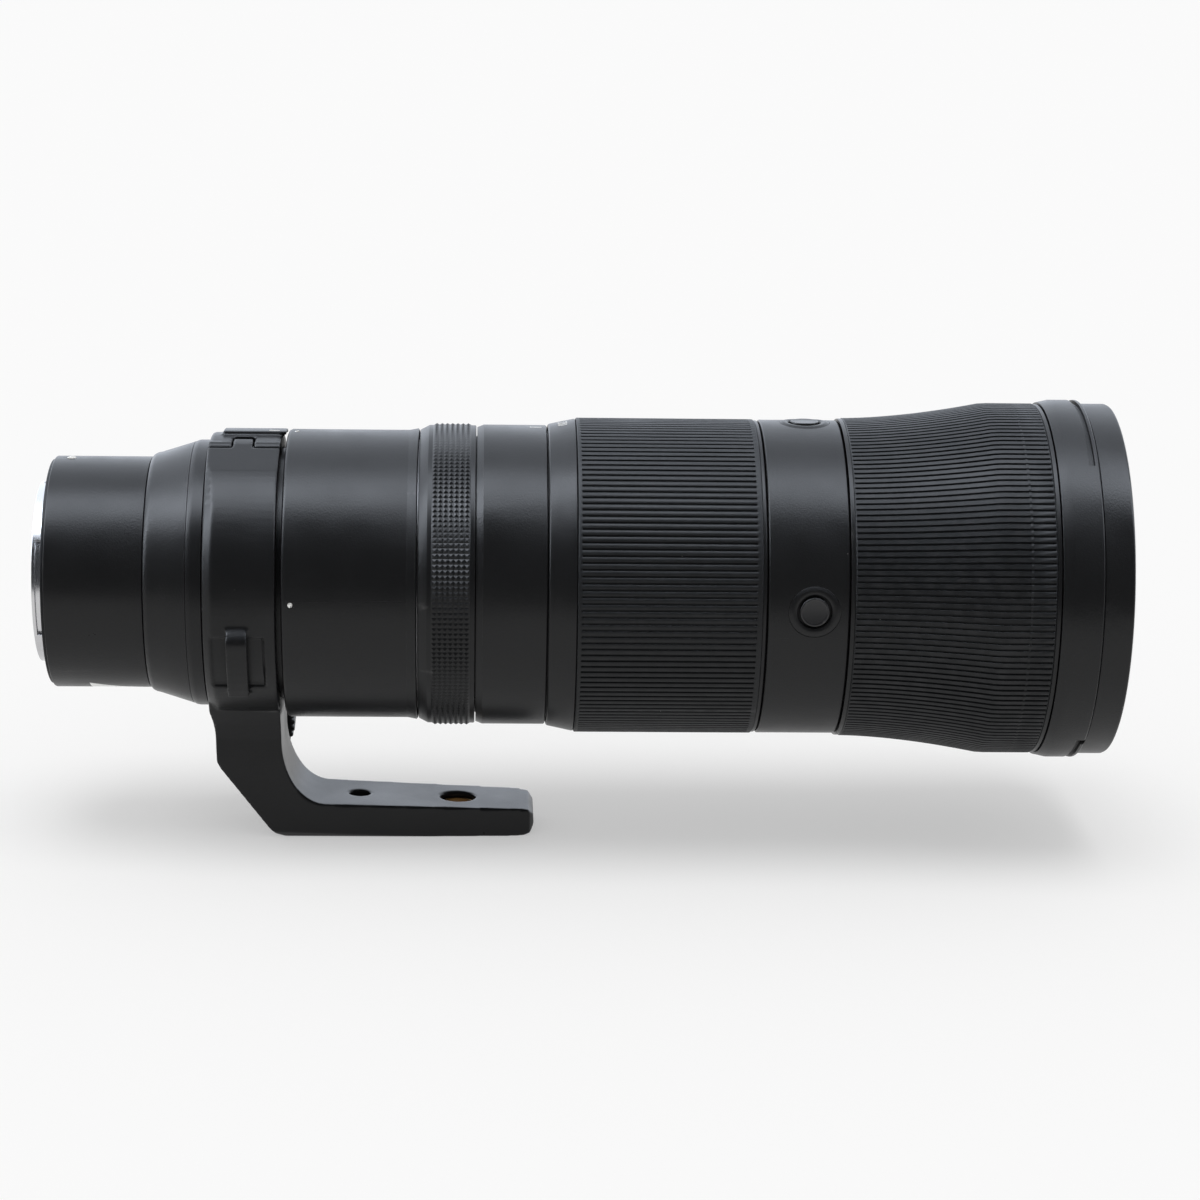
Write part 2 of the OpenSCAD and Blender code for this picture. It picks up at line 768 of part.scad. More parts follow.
module main_barrel() color("dimgray") difference() {
    lathe([[seat_r + run_gap, main_from], [main_barrel_r - soft_edge, main_from],
        [main_barrel_r - soft_edge * corner_share, main_from + soft_edge * corner_share],
        [main_barrel_r, main_from + soft_edge], [main_barrel_r, main_end - edge - main_flare_len],
        [main_barrel_r + main_flare, main_end - edge],
        [main_barrel_r + main_flare - edge, main_end], [main_in_r, main_end],
        [main_in_r, main_from + main_lip_t], [seat_r + run_gap, main_from + main_lip_t]]);
    intersection() {
        band(main_barrel_r + cut_over, main_in_r - cut_over, main_from, main_end);
        translate([panel_mid - panel_len / 2 - panel_fit, 0, -panel_half_w - panel_fit])
            cube([panel_len + 2 * panel_fit, 2 * main_barrel_r,
                2 * (panel_half_w + panel_fit)]);
    }
    for (e = [0:90:270])
        radial_rod(dot_r, barrel_dot_x, e, main_barrel_r - mark_depth, main_barrel_r + cut_over);
}

// White inlays that show how the parts line up
module index_marks() color("white") {
    radial_rod(mount_dot_r, mount_dot_x, 90, mount_barrel_r - mark_depth,
        mount_barrel_r + mount_dot_proud / 2);
    radial_rod(mount_dot_r * mount_dot_top_share, mount_dot_x, 90, mount_barrel_r - mark_depth,
        mount_barrel_r + mount_dot_proud);
    for (e = [0:90:270])
        radial_rod(dot_r, barrel_dot_x, e, main_barrel_r - mark_depth, main_barrel_r + mark_proud);
    radial_block(zoom_mark_len, zoom_mark_w, zoom_mark_x, 90, mid_barrel_r - mark_depth,
        mid_barrel_r + mark_proud);
}

module switch_panel() color("dimgray") difference() {
    intersection() {
        band(panel_out_r, panel_in_r, main_from, main_end);
        translate([panel_mid - panel_len / 2, 0, -panel_half_w])
            cube([panel_len, 2 * main_barrel_r, 2 * panel_half_w]);
    }
    for (e = [180 - switch_offset, 180 + switch_offset])
        radial_block(switch_stem_len + switch_travel + 2 * run_gap, switch_stem_w + 2 * panel_fit,
            panel_mid, e, panel_in_r - cut_over, panel_out_r + cut_over);
}

// Slide switch: ribbed cap outside, stem through the panel, plate inside
module slide_switch(e) {
    x = panel_mid - switch_travel / 2;
    radial_block(switch_len, switch_w, x, e, panel_out_r + run_gap, panel_out_r + switch_h);
    radial_block(switch_stem_len, switch_stem_w, x, e, panel_in_r - run_gap - switch_plate_t,
        panel_out_r + switch_h);
    radial_block(switch_plate_len, switch_w, x, e, panel_in_r - run_gap - switch_plate_t,
        panel_in_r - run_gap);
    for (i = [0:switch_ribs - 1])
        radial_block(switch_rib_w, switch_w,
            x + (i - (switch_ribs - 1) / 2) * switch_len / (switch_ribs + 1), e,
            panel_out_r + run_gap, panel_out_r + switch_h + switch_rib_h);
}

module focus_mode_switch() color("black") slide_switch(180 - switch_offset);

module focus_limit_switch() color("black") slide_switch(180 + switch_offset);

module circuit_board() color("darkgreen") {
    band(main_in_r - seam, inner_tube_r + board_gap, board_from, board_from + board_t);
    for (i = [0:chip_count - 1])
        radial_block(chip_t, chip_w, board_from + board_t + chip_t / 2, (i + 0.5) * 360 / chip_count,
            inner_tube_r + 2 * board_gap, inner_tube_r + 2 * board_gap + chip_w);
}

module iris_housing() color("black") difference() {
    band(unit_r, iris_bore_r, iris_from, iris_from + iris_len);
    band(iris_slot_r, iris_bore_r - cut_over, iris_from + (iris_len - iris_slot_w) / 2,
        iris_from + (iris_len + iris_slot_w) / 2);
}

// Thin curved leaves stacked like steps, drawn back round the full opening
module iris_blades() color("gray")
    for (i = [0:blade_count - 1]) intersection() {
        x = iris_from + (iris_len - iris_slot_w) / 2 + blade_t / 2
            + i * (iris_slot_w - 2 * blade_t) / (blade_count - 1);
        band(blade_r_in + blade_w, blade_r_in, x, x + blade_t);
        sector(i * 360 / blade_count, i * 360 / blade_count + blade_span, x, x + blade_t);
    }

module vr_frame() color("dimgray")
    lathe([[vr_glass_r, vr_from], [unit_r, vr_from], [unit_r, vr_from + vr_len],
        [unit_r - vr_wall, vr_from + vr_len], [unit_r - vr_wall, vr_from + vr_back_t],
        [vr_glass_r, vr_from + vr_back_t]]);

module vr_carrier() color("darkgray")
    band(vr_plate_r, vr_glass_r, vr_from + vr_back_t + vr_play,
        vr_from + vr_back_t + vr_play + vr_plate_t);

module vr_cell() color("black")
    band(vr_cell_r, vr_glass_r, vr_cell_from, vr_cell_from + vr_cell_len);

module vr_lens() color("lightsteelblue")
    glass(vr_glass_r - glue_fit, vr_cell_from + (vr_cell_len - vr_glass_t) / 2, vr_glass_t,
        vr_bulge, vr_bulge);

module mid_barrel() color("dimgray") difference() {
    lathe([[control_sleeve_in_r, control_from], [control_sleeve_r, control_from],
        [control_sleeve_r, mid_from], [mid_barrel_r - mid_bevel_h, mid_from],
        [mid_barrel_r, mid_from + mid_bevel], [mid_barrel_r, mid_end - edge],
        [mid_barrel_r - edge, mid_end], [zoom_sleeve_r, mid_end],
        [zoom_sleeve_r, mid_end + zoom_sleeve_len], [zoom_sleeve_in_r, mid_end + zoom_sleeve_len],
        [zoom_sleeve_in_r, mid_end - shell_t], [control_sleeve_in_r, mid_end - shell_t]]);
    radial_block(zoom_mark_len, zoom_mark_w, zoom_mark_x, 90, mid_barrel_r - mark_depth,
        mid_barrel_r + cut_over);
}

// Straight slot that keeps a follower from turning
module guide_slot(x, travel, e) {
    radial_rod(follower_r + slide_fit, x, e, guide_in_r - cut_over, guide_r + cut_over);
    radial_rod(follower_r + slide_fit, x + travel, e, guide_in_r - cut_over, guide_r + cut_over);
    radial_block(travel, 2 * (follower_r + slide_fit), x + travel / 2, e,
        guide_in_r - cut_over, guide_r + cut_over);
}

module guide_tube() color("darkgray") difference() {
    lathe([[guide_in_r, guide_from], [guide_r, guide_from], [guide_r, guide_end],
        [guide_in_r, guide_end], [guide_in_r, rib_from + rib_t], [rib_in_r, rib_from + rib_t],
        [rib_in_r, rib_from], [guide_in_r, rib_from]]);
    for (i = [0:cam_count - 1]) {
        guide_slot(front_follower_x, front_group_travel, front_cam_e + i * 360 / cam_count);
        guide_slot(rear_follower_x, rear_group_travel, rear_cam_e + i * 360 / cam_count);
    }
    for (e = [0, 180])
        rod(rod_r + glue_fit, rib_from - cut_over, rib_from + rod_stub - glue_fit,
            at(rod_ring_r, e));
    rod(journal_r + slide_fit, rib_from - cut_over, rib_from + journal_len + slide_fit,
        at(rod_ring_r, 270));
}

module guide_rods() color("silver")
    for (e = [0, 180])
        rod(rod_r, web_end - rod_stub + glue_fit, rib_from + rod_stub - 2 * glue_fit,
            at(rod_ring_r, e));

module focus_motor() color("gray") difference() {
    rod(motor_r, web_end, web_end + motor_len, at(rod_ring_r, 270));
    rod(journal_r + slide_fit, web_end + motor_len - journal_len - slide_fit,
        web_end + motor_len + cut_over, at(rod_ring_r, 270));
}

module lead_screw() color("silver") {
    rod(journal_r, web_end + motor_len - journal_len, rib_from + journal_len,
        at(rod_ring_r, 270));
    rod(screw_r, web_end + motor_len + run_gap, rib_from - run_gap, at(rod_ring_r, 270));
}

module focus_cell() color("black") difference() {
    band(focus_cell_r, focus_glass_r, focus_cell_from, focus_cell_from + cell_len);
    for (e = [0, 180, 270])
        rod(rod_r + slide_fit, focus_cell_from - cut_over, focus_cell_from + cell_len + cut_over,
            at(rod_ring_r, e));
}

module focus_lens() color("lightsteelblue")
    glass(focus_glass_r - glue_fit, focus_cell_from + (cell_len - focus_glass_t) / 2,
        focus_glass_t, focus_bulge, focus_bulge);

// Prism with pointed teeth all round
module toothed_prism(r, depth, count, from, end)
    across([for (i = [0:2 * count - 1]) at(i % 2 == 0 ? r : r - depth, i * 180 / count)],
        from, end);

module control_ring() color("dimgray") difference() {
    union() {
        lathe([[control_in_r, control_from], [control_rear_r, control_from],
            [control_edge_r, knurl_from - edge], [control_edge_r, control_end - edge],
            [control_edge_r - edge, control_end], [control_in_r, control_end]]);
        toothed_prism(control_ring_r, knurl_depth, knurl_count, knurl_from, knurl_end);
    }
    rod_bore(control_in_r, control_from, control_end);
}

// Bore through a turned piece
module rod_bore(r, from, end)
    translate([from - cut_over, 0, 0]) rotate([0, 90, 0])
        cylinder(r = r, h = end - from + 2 * cut_over, $fn = round_fn);

module zoom_ring() color("dimgray")
    lathe([[zoom_in_r, zoom_from], [scale_rear_r - edge, zoom_from],
        [scale_rear_r, zoom_from + edge], [scale_front_r, grip_from - edge],
        [scale_front_r - edge, grip_from], [zoom_bed_r, grip_from], [zoom_bed_r, grip_end],
        [scale_front_r, grip_end], [scale_front_r, zoom_end - edge],
        [scale_front_r - edge, zoom_end], [zoom_in_r, zoom_end],
        [zoom_in_r, drive_from + drive_w], [cam_r + glue_fit, drive_from + drive_w],
        [cam_r + glue_fit, drive_from], [zoom_in_r, drive_from]]);

// Rubber sleeve with flat-topped ribs along the lens
module zoom_grip() color("darkslategray") difference() {
    across([for (i = [0:zoom_ribs - 1], p = [[0, 0], [0, 1], [1, 1], [1, 0]])
        at(zoom_grip_r - rib_depth * (1 - p[1]), (i + p[0] * rib_share) * 360 / zoom_ribs)],
        grip_from + glue_fit, grip_end - glue_fit);
    rod_bore(zoom_bed_r + glue_fit, grip_from, grip_end);
}

// Slanted slot in the cam tube, cut as short straight stretches round the tube
module cam_slot(x, travel, e) {
    function step_x(i) = x + travel * i / cam_steps;
    function step_e(i) = e + zoom_turn * i / cam_steps;
    half_w = follower_r + cam_fit;
    run = cam_r * zoom_turn / cam_steps * PI / 180;
    slant = atan2(run, travel / cam_steps);
    stretch = sqrt(pow(run, 2) + pow(travel / cam_steps, 2));
    for (i = [0:cam_steps])
        radial_rod(half_w, step_x(i), step_e(i), cam_in_r - cut_over, cam_r + cut_over);
    for (i = [0:cam_steps - 1])
        radial_block(stretch, 2 * half_w, step_x(i + 0.5), step_e(i + 0.5),
            cam_in_r - cut_over, cam_r + cut_over, -slant);
}

module cam_tube() color("silver") difference() {
    band(cam_r, cam_in_r, cam_from, cam_end);
    for (i = [0:cam_count - 1]) {
        cam_slot(front_follower_x, front_group_travel, front_cam_e + i * 360 / cam_count);
        cam_slot(rear_follower_x, rear_group_travel, rear_cam_e + i * 360 / cam_count);
    }
}

// Cell of a zoom group with its three cam followers
module group_cell(from, l, bore_r, first_e) {
    band(group_r, bore_r, from, from + l);
    for (i = [0:cam_count - 1])
        radial_rod(follower_r, from + follower_setback, first_e + i * 360 / cam_count,
            group_r - guide_t, cam_r);
}

module front_group_cell() color("black")
    group_cell(front_group_from, front_group_len, front_glass_r, front_cam_e);

module front_group_lens() color("lightsteelblue")
    glass(front_glass_r - glue_fit, front_group_from + (front_group_len - group_glass_t) / 2,
        group_glass_t, group_bulge, group_bulge);

module rear_group_cell() color("black")
    group_cell(rear_group_from, rear_group_len, rear_glass_r, rear_cam_e);

module rear_group_lens() color("lightsteelblue")
    glass(rear_glass_r - glue_fit, rear_group_from + (rear_group_len - group_glass_t) / 2,
        group_glass_t, group_bulge, group_bulge);

module button_barrel() color("dimgray") difference() {
    lathe([[zoom_sleeve_in_r, button_from - zoom_sleeve_len],
        [zoom_sleeve_r, button_from - zoom_sleeve_len], [zoom_sleeve_r, button_from],
        [button_barrel_r - edge, button_from], [button_barrel_r, button_from + edge],
        [button_barrel_r, button_end - edge], [button_barrel_r - edge, button_end],
        [button_in_r, button_end], [button_in_r, guide_end],
        [guide_r + sleeve_gap, guide_end], [guide_r + sleeve_gap, guide_end - barrel_web_t],
        [button_in_r, guide_end - barrel_web_t], [button_in_r, button_from + shell_t],
        [zoom_sleeve_in_r, button_from + shell_t]]);
    for (e = [0:90:270]) {
        radial_rod(bezel_r + bezel_fit, button_x, e, pocket_floor_r, button_barrel_r + cut_over);
        radial_rod(button_stem_r + slide_fit, button_x, e, button_in_r - cut_over,
            pocket_floor_r + cut_over);
    }
}

module button_bezels() color("black") for (e = [0:90:270]) intersection() {
    difference() {
        radial_rod(bezel_r, button_x, e, pocket_floor_r + glue_fit, button_barrel_r + cut_over);
        radial_rod(bezel_in_r, button_x, e, pocket_floor_r - cut_over,
            button_barrel_r + 2 * cut_over);
    }
    band(button_barrel_r + bezel_proud, button_in_r, button_from, button_end);
}

module push_button(e) color("black") {
    intersection() {
        radial_rod(button_r, button_x, e, button_barrel_r + button_proud - button_cap_t,
            button_barrel_r + 2 * button_proud);
        band(button_barrel_r + button_proud, button_in_r, button_from, button_end);
    }
    radial_rod(button_stem_r, button_x, e, button_stem_end_r,
        button_barrel_r + button_proud - button_cap_t / 2);
}

module side_button() push_button(0);

module top_button() push_button(90);

module far_button() push_button(180);

module under_button() push_button(270);

// Shell between two depths below the flared outer surface of the focus grip
module flared_shell(depth_out, depth_in, from, end) {
    x = stations(from, end);
    lathe(concat([for (s = x) [flare_r(s) - depth_out, s]],
        [for (s = reverse(x)) [flare_r(s) - depth_in, s]]));
}

module focus_ring() color("dimgray") {
    flared_shell(grip_t + glue_fit, grip_t + carrier_t, focus_from, focus_end);
    for (span = [[focus_from, focus_grip_from], [focus_grip_end, focus_end]])
        flared_shell(focus_lip_drop, grip_t + carrier_t, span[0], span[1]);
}

module focus_grip() color("darkslategray")
    flared_shell(0, grip_t, focus_grip_from + glue_fit, focus_grip_end - glue_fit);

module front_barrel() color("dimgray") {
    x = stations(button_end, focus_end);
    depth = grip_t + carrier_t + run_gap;
    lathe(concat([[rear_tube_in_r, guide_end], [button_in_r - run_gap, guide_end],
        [button_in_r - run_gap, button_end]],
        [for (s = x) [flare_r(s) - depth, s]],
        [[front_seat_r, focus_end + glue_fit], [front_seat_r, hood_end],
        [front_glass_seat_r, hood_end], [front_glass_seat_r, front_glass_from],
        [front_tube_in_r, front_glass_from], [front_tube_in_r, second_from]]));
}

module front_element() color("lightsteelblue")
    glass(front_glass_seat_r - glue_fit, front_glass_from + front_back_bulge, front_glass_t,
        front_back_bulge, front_bulge);

module second_element() color("lightsteelblue")
    glass(front_tube_in_r - glue_fit, second_from, second_glass_t, second_bulge, second_bulge);

// Stepped black ring that holds the front glass
module front_retainer() color("black")
    lathe(concat([[front_glass_seat_r - glue_fit, hood_end],
        [front_glass_seat_r - glue_fit, retainer_from]],
        [for (i = [0:retainer_steps - 1], k = [0, 1])
            [front_glass_seat_r - retainer_w * (1 - i / retainer_steps),
                mix(retainer_from + retainer_rise, hood_end, (i + k) / retainer_steps)]]));

// Curved slots in which the lugs of a hood lock
module hood_slots() {
    slot_x = hood_end - slot_setback - slot_w;
    for (turn = [0, 180]) {
        intersection() {
            band(hood_ring_r + cut_over, hood_ring_r - slot_depth, slot_x, slot_x + slot_w);
            sector(90 - slot_half_span + turn, 90 + slot_half_span + turn, slot_x,
                slot_x + slot_w);
        }
        intersection() {
            band(hood_ring_r + cut_over, hood_ring_r - slot_depth, slot_x, hood_end + cut_over);
            sector(90 + slot_half_span - notch_span + turn, 90 + slot_half_span + turn, slot_x,
                hood_end + cut_over);
        }
    }
}

module hood_ring() color("dimgray") difference() {
    lathe([[front_seat_r + glue_fit, hood_from], [hood_rear_r, hood_from],
        [hood_ring_r, hood_from + hood_bevel], [hood_ring_r, hood_end - edge],
        [hood_ring_r - edge, hood_end], [front_seat_r + glue_fit, hood_end]]);
    hood_slots();
}

module front_rim() color("dimgray")
    lathe([[front_glass_seat_r, rim_from], [front_rim_r, rim_from],
        [front_rim_r, rim_end - rim_edge],
        [front_rim_r - rim_edge * corner_share, rim_end - rim_edge * corner_share],
        [front_rim_r - rim_edge, rim_end], [filter_r, rim_end], [filter_r, rim_end - thread_len],
        [front_glass_seat_r, rim_end - thread_len]]);

// Full ring from which both parts of the collar are cut, with the corners of its rear edge
module collar_blank(r, corners)
    lathe(concat([[collar_in_r, collar_from]], corners, [[r, collar_end - edge],
        [r - edge, collar_end], [collar_in_r, collar_end]]));

// Rear bevel as a share of the full one
function bevel_corners(share) = [
    [collar_r - mix(edge, collar_bevel_h, share), collar_from],
    [collar_r, collar_from + mix(edge, collar_bevel, share)]];

// Lower part of the ring, whose rear bevel runs out towards the hinge
module lower_ring() {
    intersection() {
        collar_blank(collar_r, bevel_corners(1));
        sector(lower_from_e, bevel_full_e, collar_from - cut_over, collar_end + cut_over);
    }
    for (i = [1:bevel_steps]) intersection() {
        collar_blank(collar_r, bevel_corners(i / (bevel_steps + 1)));
        sector(mix(bevel_out_e, bevel_full_e, i / bevel_steps),
            mix(bevel_out_e, bevel_full_e, (i - 1) / bevel_steps), collar_from - cut_over,
            collar_end + cut_over);
    }
    intersection() {
        collar_blank(collar_r, bevel_corners(0));
        union() {
            sector(bevel_out_e, shoulder_e, collar_from - cut_over, collar_end + cut_over);
            sector(bevel_out_e, tongue_end_e, tab_from, tab_end);
        }
    }
}

module knuckle(from, end) rod(knuckle_r, from, end, [hinge_y, hinge_z]);

// Side view of neck and foot, with the curved inside corner as part of an ellipse
function foot_side() = let(
    throat_x = neck_end + throat_len,
    throat_z = -foot_drop * throat_top_share,
    throat_h = foot_drop * (foot_top_share - throat_top_share))
    concat([for (p = heel_shares) [neck_from + foot_reach * p[0], -foot_drop * p[1]]],
        [for (p = toe_shares) [neck_from + foot_reach * p[0], -foot_drop * p[1]]],
        [for (a = [90:-corner_step_e:0]) [throat_x - throat_len * cos(a), throat_z - throat_h * sin(a)]],
        [[neck_end, -foot_drop * neck_root_share]]);

module neck_and_foot() {
    half_w = foot_rear_w / 2;
    front_half_w = foot_front_w / 2;
    root_z = -foot_drop * neck_root_share;
    waist_z = -foot_drop * neck_waist_share;
    plan_x = neck_end + throat_len / 6;
    intersection() {
        translate([0, neck_root_w, 0]) rotate([90, 0, 0]) linear_extrude(2 * neck_root_w)
            polygon(foot_side());
        across([[-neck_root_w / 2, root_z], [-half_w - foot_corner, mix(root_z, waist_z, near_root_share)],
            [-half_w, waist_z], [-half_w, -foot_drop + foot_corner],
            [-half_w + foot_corner, -foot_drop], [half_w - foot_corner, -foot_drop],
            [half_w, -foot_drop + foot_corner], [half_w, waist_z], [far_root_w, root_z]],
            collar_from, neck_from + 2 * foot_reach);
        translate([0, 0, -foot_drop - cut_over]) linear_extrude(foot_drop)
            polygon([[collar_from, -neck_root_w], [plan_x, -neck_root_w], [plan_x, -half_w],
                [neck_from + foot_reach * plan_front_share, -front_half_w],
                [neck_from + foot_reach * toe_corner_share, -front_half_w * toe_side_share],
                [neck_from + foot_reach, -front_half_w * toe_w_share],
                [neck_from + foot_reach, front_half_w * toe_w_share],
                [neck_from + foot_reach * toe_corner_share, front_half_w * toe_side_share],
                [neck_from + foot_reach * plan_front_share, front_half_w],
                [plan_x, half_w], [plan_x, neck_root_w], [collar_from, neck_root_w]]);
    }
}

// Frame of the clamp: its Z runs along the stud, from the neck towards the knob
module at_clamp() translate([clamp_x, clamp_y, clamp_z]) rotate([clamp_tilt - 90, 0, 0])
    children();

module strap_bar()
    across(concat([at(collar_r - edge, bar_from_e)],
        [for (i = [0:bar_round_steps]) let(s = i / bar_round_steps)
            mix(mix(bar_round_from, bar_round_corner, s), mix(bar_round_corner, bar_round_end, s), s)],
        [for (i = [1:bar_steps]) at(collar_r + bar_proud,
            mix(bar_from_e - bar_bend_e - bar_round_e, bar_end_e + bar_foot_bend_e, i / bar_steps))],
        [at(collar_r + bar_proud * bar_foot_share, bar_end_e + bar_foot_back_e),
        at(collar_r - edge, bar_end_e), at(collar_r - edge, bar_end_e + bar_foot_bend_e)],
        [for (i = [0:bar_steps]) at(collar_r + bar_proud - bar_t,
            mix(strap_recess_from_e, strap_recess_end_e, i / bar_steps))]),
        bar_x - bar_w / 2, bar_x + bar_w / 2);

module collar_foot() color("dimgray") {
    difference() {
        union() {
            lower_ring();
            knuckle(tab_from, tab_end);
            neck_and_foot();
            at_clamp() translate([0, 0, -boss_len])
                cylinder(r = boss_r, h = boss_len, $fn = small_fn);
        }
        rod_bore(collar_in_r, collar_from, collar_end);
        rod(pin_hinge_r + glue_fit, collar_from, collar_end, [hinge_y, hinge_z]);
        radial_block(3 * collar_w, facet_w, collar_end - collar_w / 2, facet_e,
            collar_r - facet_drop, collar_r + cut_over);
        intersection() {
            band(collar_r + cut_over, collar_r - strap_recess_t, strap_recess_from,
                strap_recess_from + strap_recess_len);
            sector(strap_recess_from_e, strap_recess_end_e, strap_recess_from,
                strap_recess_from + strap_recess_len);
        }
        at_clamp() translate([0, 0, -stud_depth - stud_play])
            cylinder(r = stud_r + stud_play, h = stud_depth + stud_play + cut_over,
                $fn = small_fn);
        translate([small_thread_x, 0, -foot_drop - cut_over])
            cylinder(r = small_thread_r, h = foot_drop / 3, $fn = small_fn);
        translate([large_thread_x, 0, -foot_drop - cut_over])
            cylinder(r = insert_r + glue_fit, h = insert_len + cut_over, $fn = small_fn);
        translate([large_thread_x, 0, -foot_drop - cut_over])
            cylinder(r = insert_mouth_r, h = foot_drop / 3, $fn = small_fn);
    }
    strap_bar();
}

module foot_insert() color("peru") translate([large_thread_x, 0, -foot_drop]) difference() {
    cylinder(r = insert_r, h = insert_len - glue_fit, $fn = small_fn);
    translate([0, 0, -cut_over])
        cylinder(r = large_thread_r, h = insert_len + 2 * cut_over, $fn = small_fn);
}

module collar_arm() color("dimgray") difference() {
    union() {
        intersection() {
            collar_blank(arm_r, [[arm_r - arm_edge, collar_from],
                [arm_r - arm_edge * corner_share, collar_from + arm_edge * corner_share],
                [arm_r, collar_from + arm_edge]]);
            union() {
                sector(hinge_e, arm_end_e, collar_from - cut_over, tab_from - run_gap);
                sector(hinge_e, arm_end_e, tab_end + run_gap, collar_end + cut_over);
                sector(notch_e, arm_end_e, collar_from - cut_over, collar_end + cut_over);
            }
        }
        knuckle(collar_from, tab_from - run_gap);
        knuckle(tab_end + run_gap, collar_end);
        intersection() {
            band(collar_r + pad_h, collar_in_r, collar_from + pad_rear_inset,
                collar_end + pad_over);
            sector(pad_from_e, pad_end_e, collar_from, main_from);
            difference() {
                band(collar_r + pad_h, collar_in_r - cut_over, collar_from, main_from);
                rod_bore(collar_r - edge, collar_end + pad_gap, main_from);
            }
        }
        across(concat([at(collar_r - edge, arm_end_e - web_in_back_e)],
            [for (e = [arm_end_e - web_in_back_e:web_step_e:arm_end_e + web_in_over_e])
                at(collar_r + run_gap, e)],
            [clamp_point(run_gap, boss_r + run_gap), clamp_point(run_gap, lug_half_w / 2),
            clamp_point(lug_t + run_gap, lug_half_w / 2),
            clamp_point(lug_t + run_gap, knob_r + 2 * run_gap),
            at(collar_r - edge, arm_end_e - web_out_back_e)]),
            clamp_x - lug_half_w, clamp_x + lug_half_w);
        at_clamp() translate([0, 0, run_gap]) cylinder(r = lug_half_w, h = lug_t, $fn = small_fn);
        at_clamp() translate([-lug_half_w, -lug_half_w, run_gap])
            cube([2 * lug_half_w, lug_half_w, lug_t]);
    }
    rod_bore(collar_in_r, collar_from - pad_over, collar_end + pad_over);
    rod(pin_hinge_r + hinge_fit, collar_from - cut_over, collar_end + cut_over,
        [hinge_y, hinge_z]);
    at_clamp() translate([0, 0, -cut_over])
        cylinder(r = stud_r + stud_fit, h = lug_t + 3 * cut_over, $fn = small_fn);
    radial_block(mark_line_len, mark_line_w,
        collar_end - mark_line_inset - mark_line_len / 2, 90, collar_r + pad_h - mark_depth,
        collar_r + pad_h + cut_over);
}

// Point beside the clamp, given along the stud and square to it, as across and up
function clamp_point(out, side) = [
    clamp_y + out * cos(clamp_tilt) - side * sin(clamp_tilt),
    clamp_z + out * sin(clamp_tilt) + side * cos(clamp_tilt)];

module collar_index() color("white")
    radial_block(mark_line_len, mark_line_w,
        collar_end - mark_line_inset - mark_line_len / 2, 90, collar_r + pad_h - mark_depth,
        collar_r + pad_h + mark_proud);

module hinge_pin() color("silver")
    rod(pin_hinge_r, collar_from + edge, collar_end - edge, [hinge_y, hinge_z]);

module clamp_stud() color("silver") at_clamp() translate([0, 0, -stud_depth])
    cylinder(r = stud_r, h = stud_depth + knob_from + knob_socket - glue_fit, $fn = small_fn);

module clamp_knob() color("black") at_clamp() translate([0, 0, knob_from]) difference() {
    linear_extrude(knob_t)
        polygon([for (i = [0:knob_grip_count - 1], p = [[0, 0], [0, 1], [1, 1], [1, 0]])
            at(knob_r - knob_grip_depth * (1 - p[1]), (i + p[0] * rib_share) * 360
                / knob_grip_count)]);
    translate([0, 0, -cut_over])
        cylinder(r = stud_r + glue_fit, h = knob_socket + cut_over, $fn = small_fn);
    translate([0, 0, knob_t - knob_dish_t])
        cylinder(r = knob_dish_r, h = knob_dish_t + cut_over, $fn = small_fn);
}

bayonet_mount();
mount_screws();
mount_gasket();
rear_liner();
contact_pins();
mount_barrel();
rear_cone();
rear_cell();
rear_element();
collar_seat();
main_barrel();
index_marks();
switch_panel();
focus_mode_switch();
focus_limit_switch();
circuit_board();
iris_housing();
iris_blades();
vr_frame();
vr_carrier();
vr_cell();
vr_lens();
mid_barrel();
guide_tube();
guide_rods();
focus_motor();
lead_screw();
focus_cell();
focus_lens();
control_ring();
zoom_ring();
zoom_grip();
cam_tube();
front_group_cell();
front_group_lens();
rear_group_cell();
rear_group_lens();
button_barrel();
button_bezels();
side_button();
top_button();
far_button();
under_button();
focus_ring();
focus_grip();
front_barrel();
front_element();
second_element();
front_retainer();
hood_ring();
front_rim();
collar_foot();
foot_insert();
collar_arm();
collar_index();
hinge_pin();
clamp_stud();
clamp_knob();
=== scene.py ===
import json
import math

import bmesh
import bpy
import numpy as np
from mathutils import Matrix, Vector


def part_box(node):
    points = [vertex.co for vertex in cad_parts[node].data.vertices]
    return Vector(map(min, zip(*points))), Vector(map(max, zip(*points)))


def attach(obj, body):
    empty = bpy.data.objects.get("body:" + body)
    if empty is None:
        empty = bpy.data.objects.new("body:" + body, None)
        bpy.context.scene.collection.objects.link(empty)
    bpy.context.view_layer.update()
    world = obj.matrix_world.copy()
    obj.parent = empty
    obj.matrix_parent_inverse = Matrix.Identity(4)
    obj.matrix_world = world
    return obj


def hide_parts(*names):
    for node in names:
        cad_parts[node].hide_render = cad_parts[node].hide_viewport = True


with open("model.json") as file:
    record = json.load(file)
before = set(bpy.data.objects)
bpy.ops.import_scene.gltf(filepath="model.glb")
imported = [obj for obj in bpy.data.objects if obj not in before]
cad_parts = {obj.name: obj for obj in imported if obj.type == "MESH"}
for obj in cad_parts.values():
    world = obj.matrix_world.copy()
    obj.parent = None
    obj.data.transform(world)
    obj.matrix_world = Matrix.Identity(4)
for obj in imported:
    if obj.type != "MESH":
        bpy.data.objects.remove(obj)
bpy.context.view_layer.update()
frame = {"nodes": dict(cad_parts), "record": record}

# Lengths in this script are millimetres, but for the coating of the glass in nanometres,
# and named angles are degrees. The lens lies along X with its mount at zero, and an
# elevation of 0 faces -Y, 90 is the top and 180 the far side.
MM = 0.001
NODES = frame["nodes"]


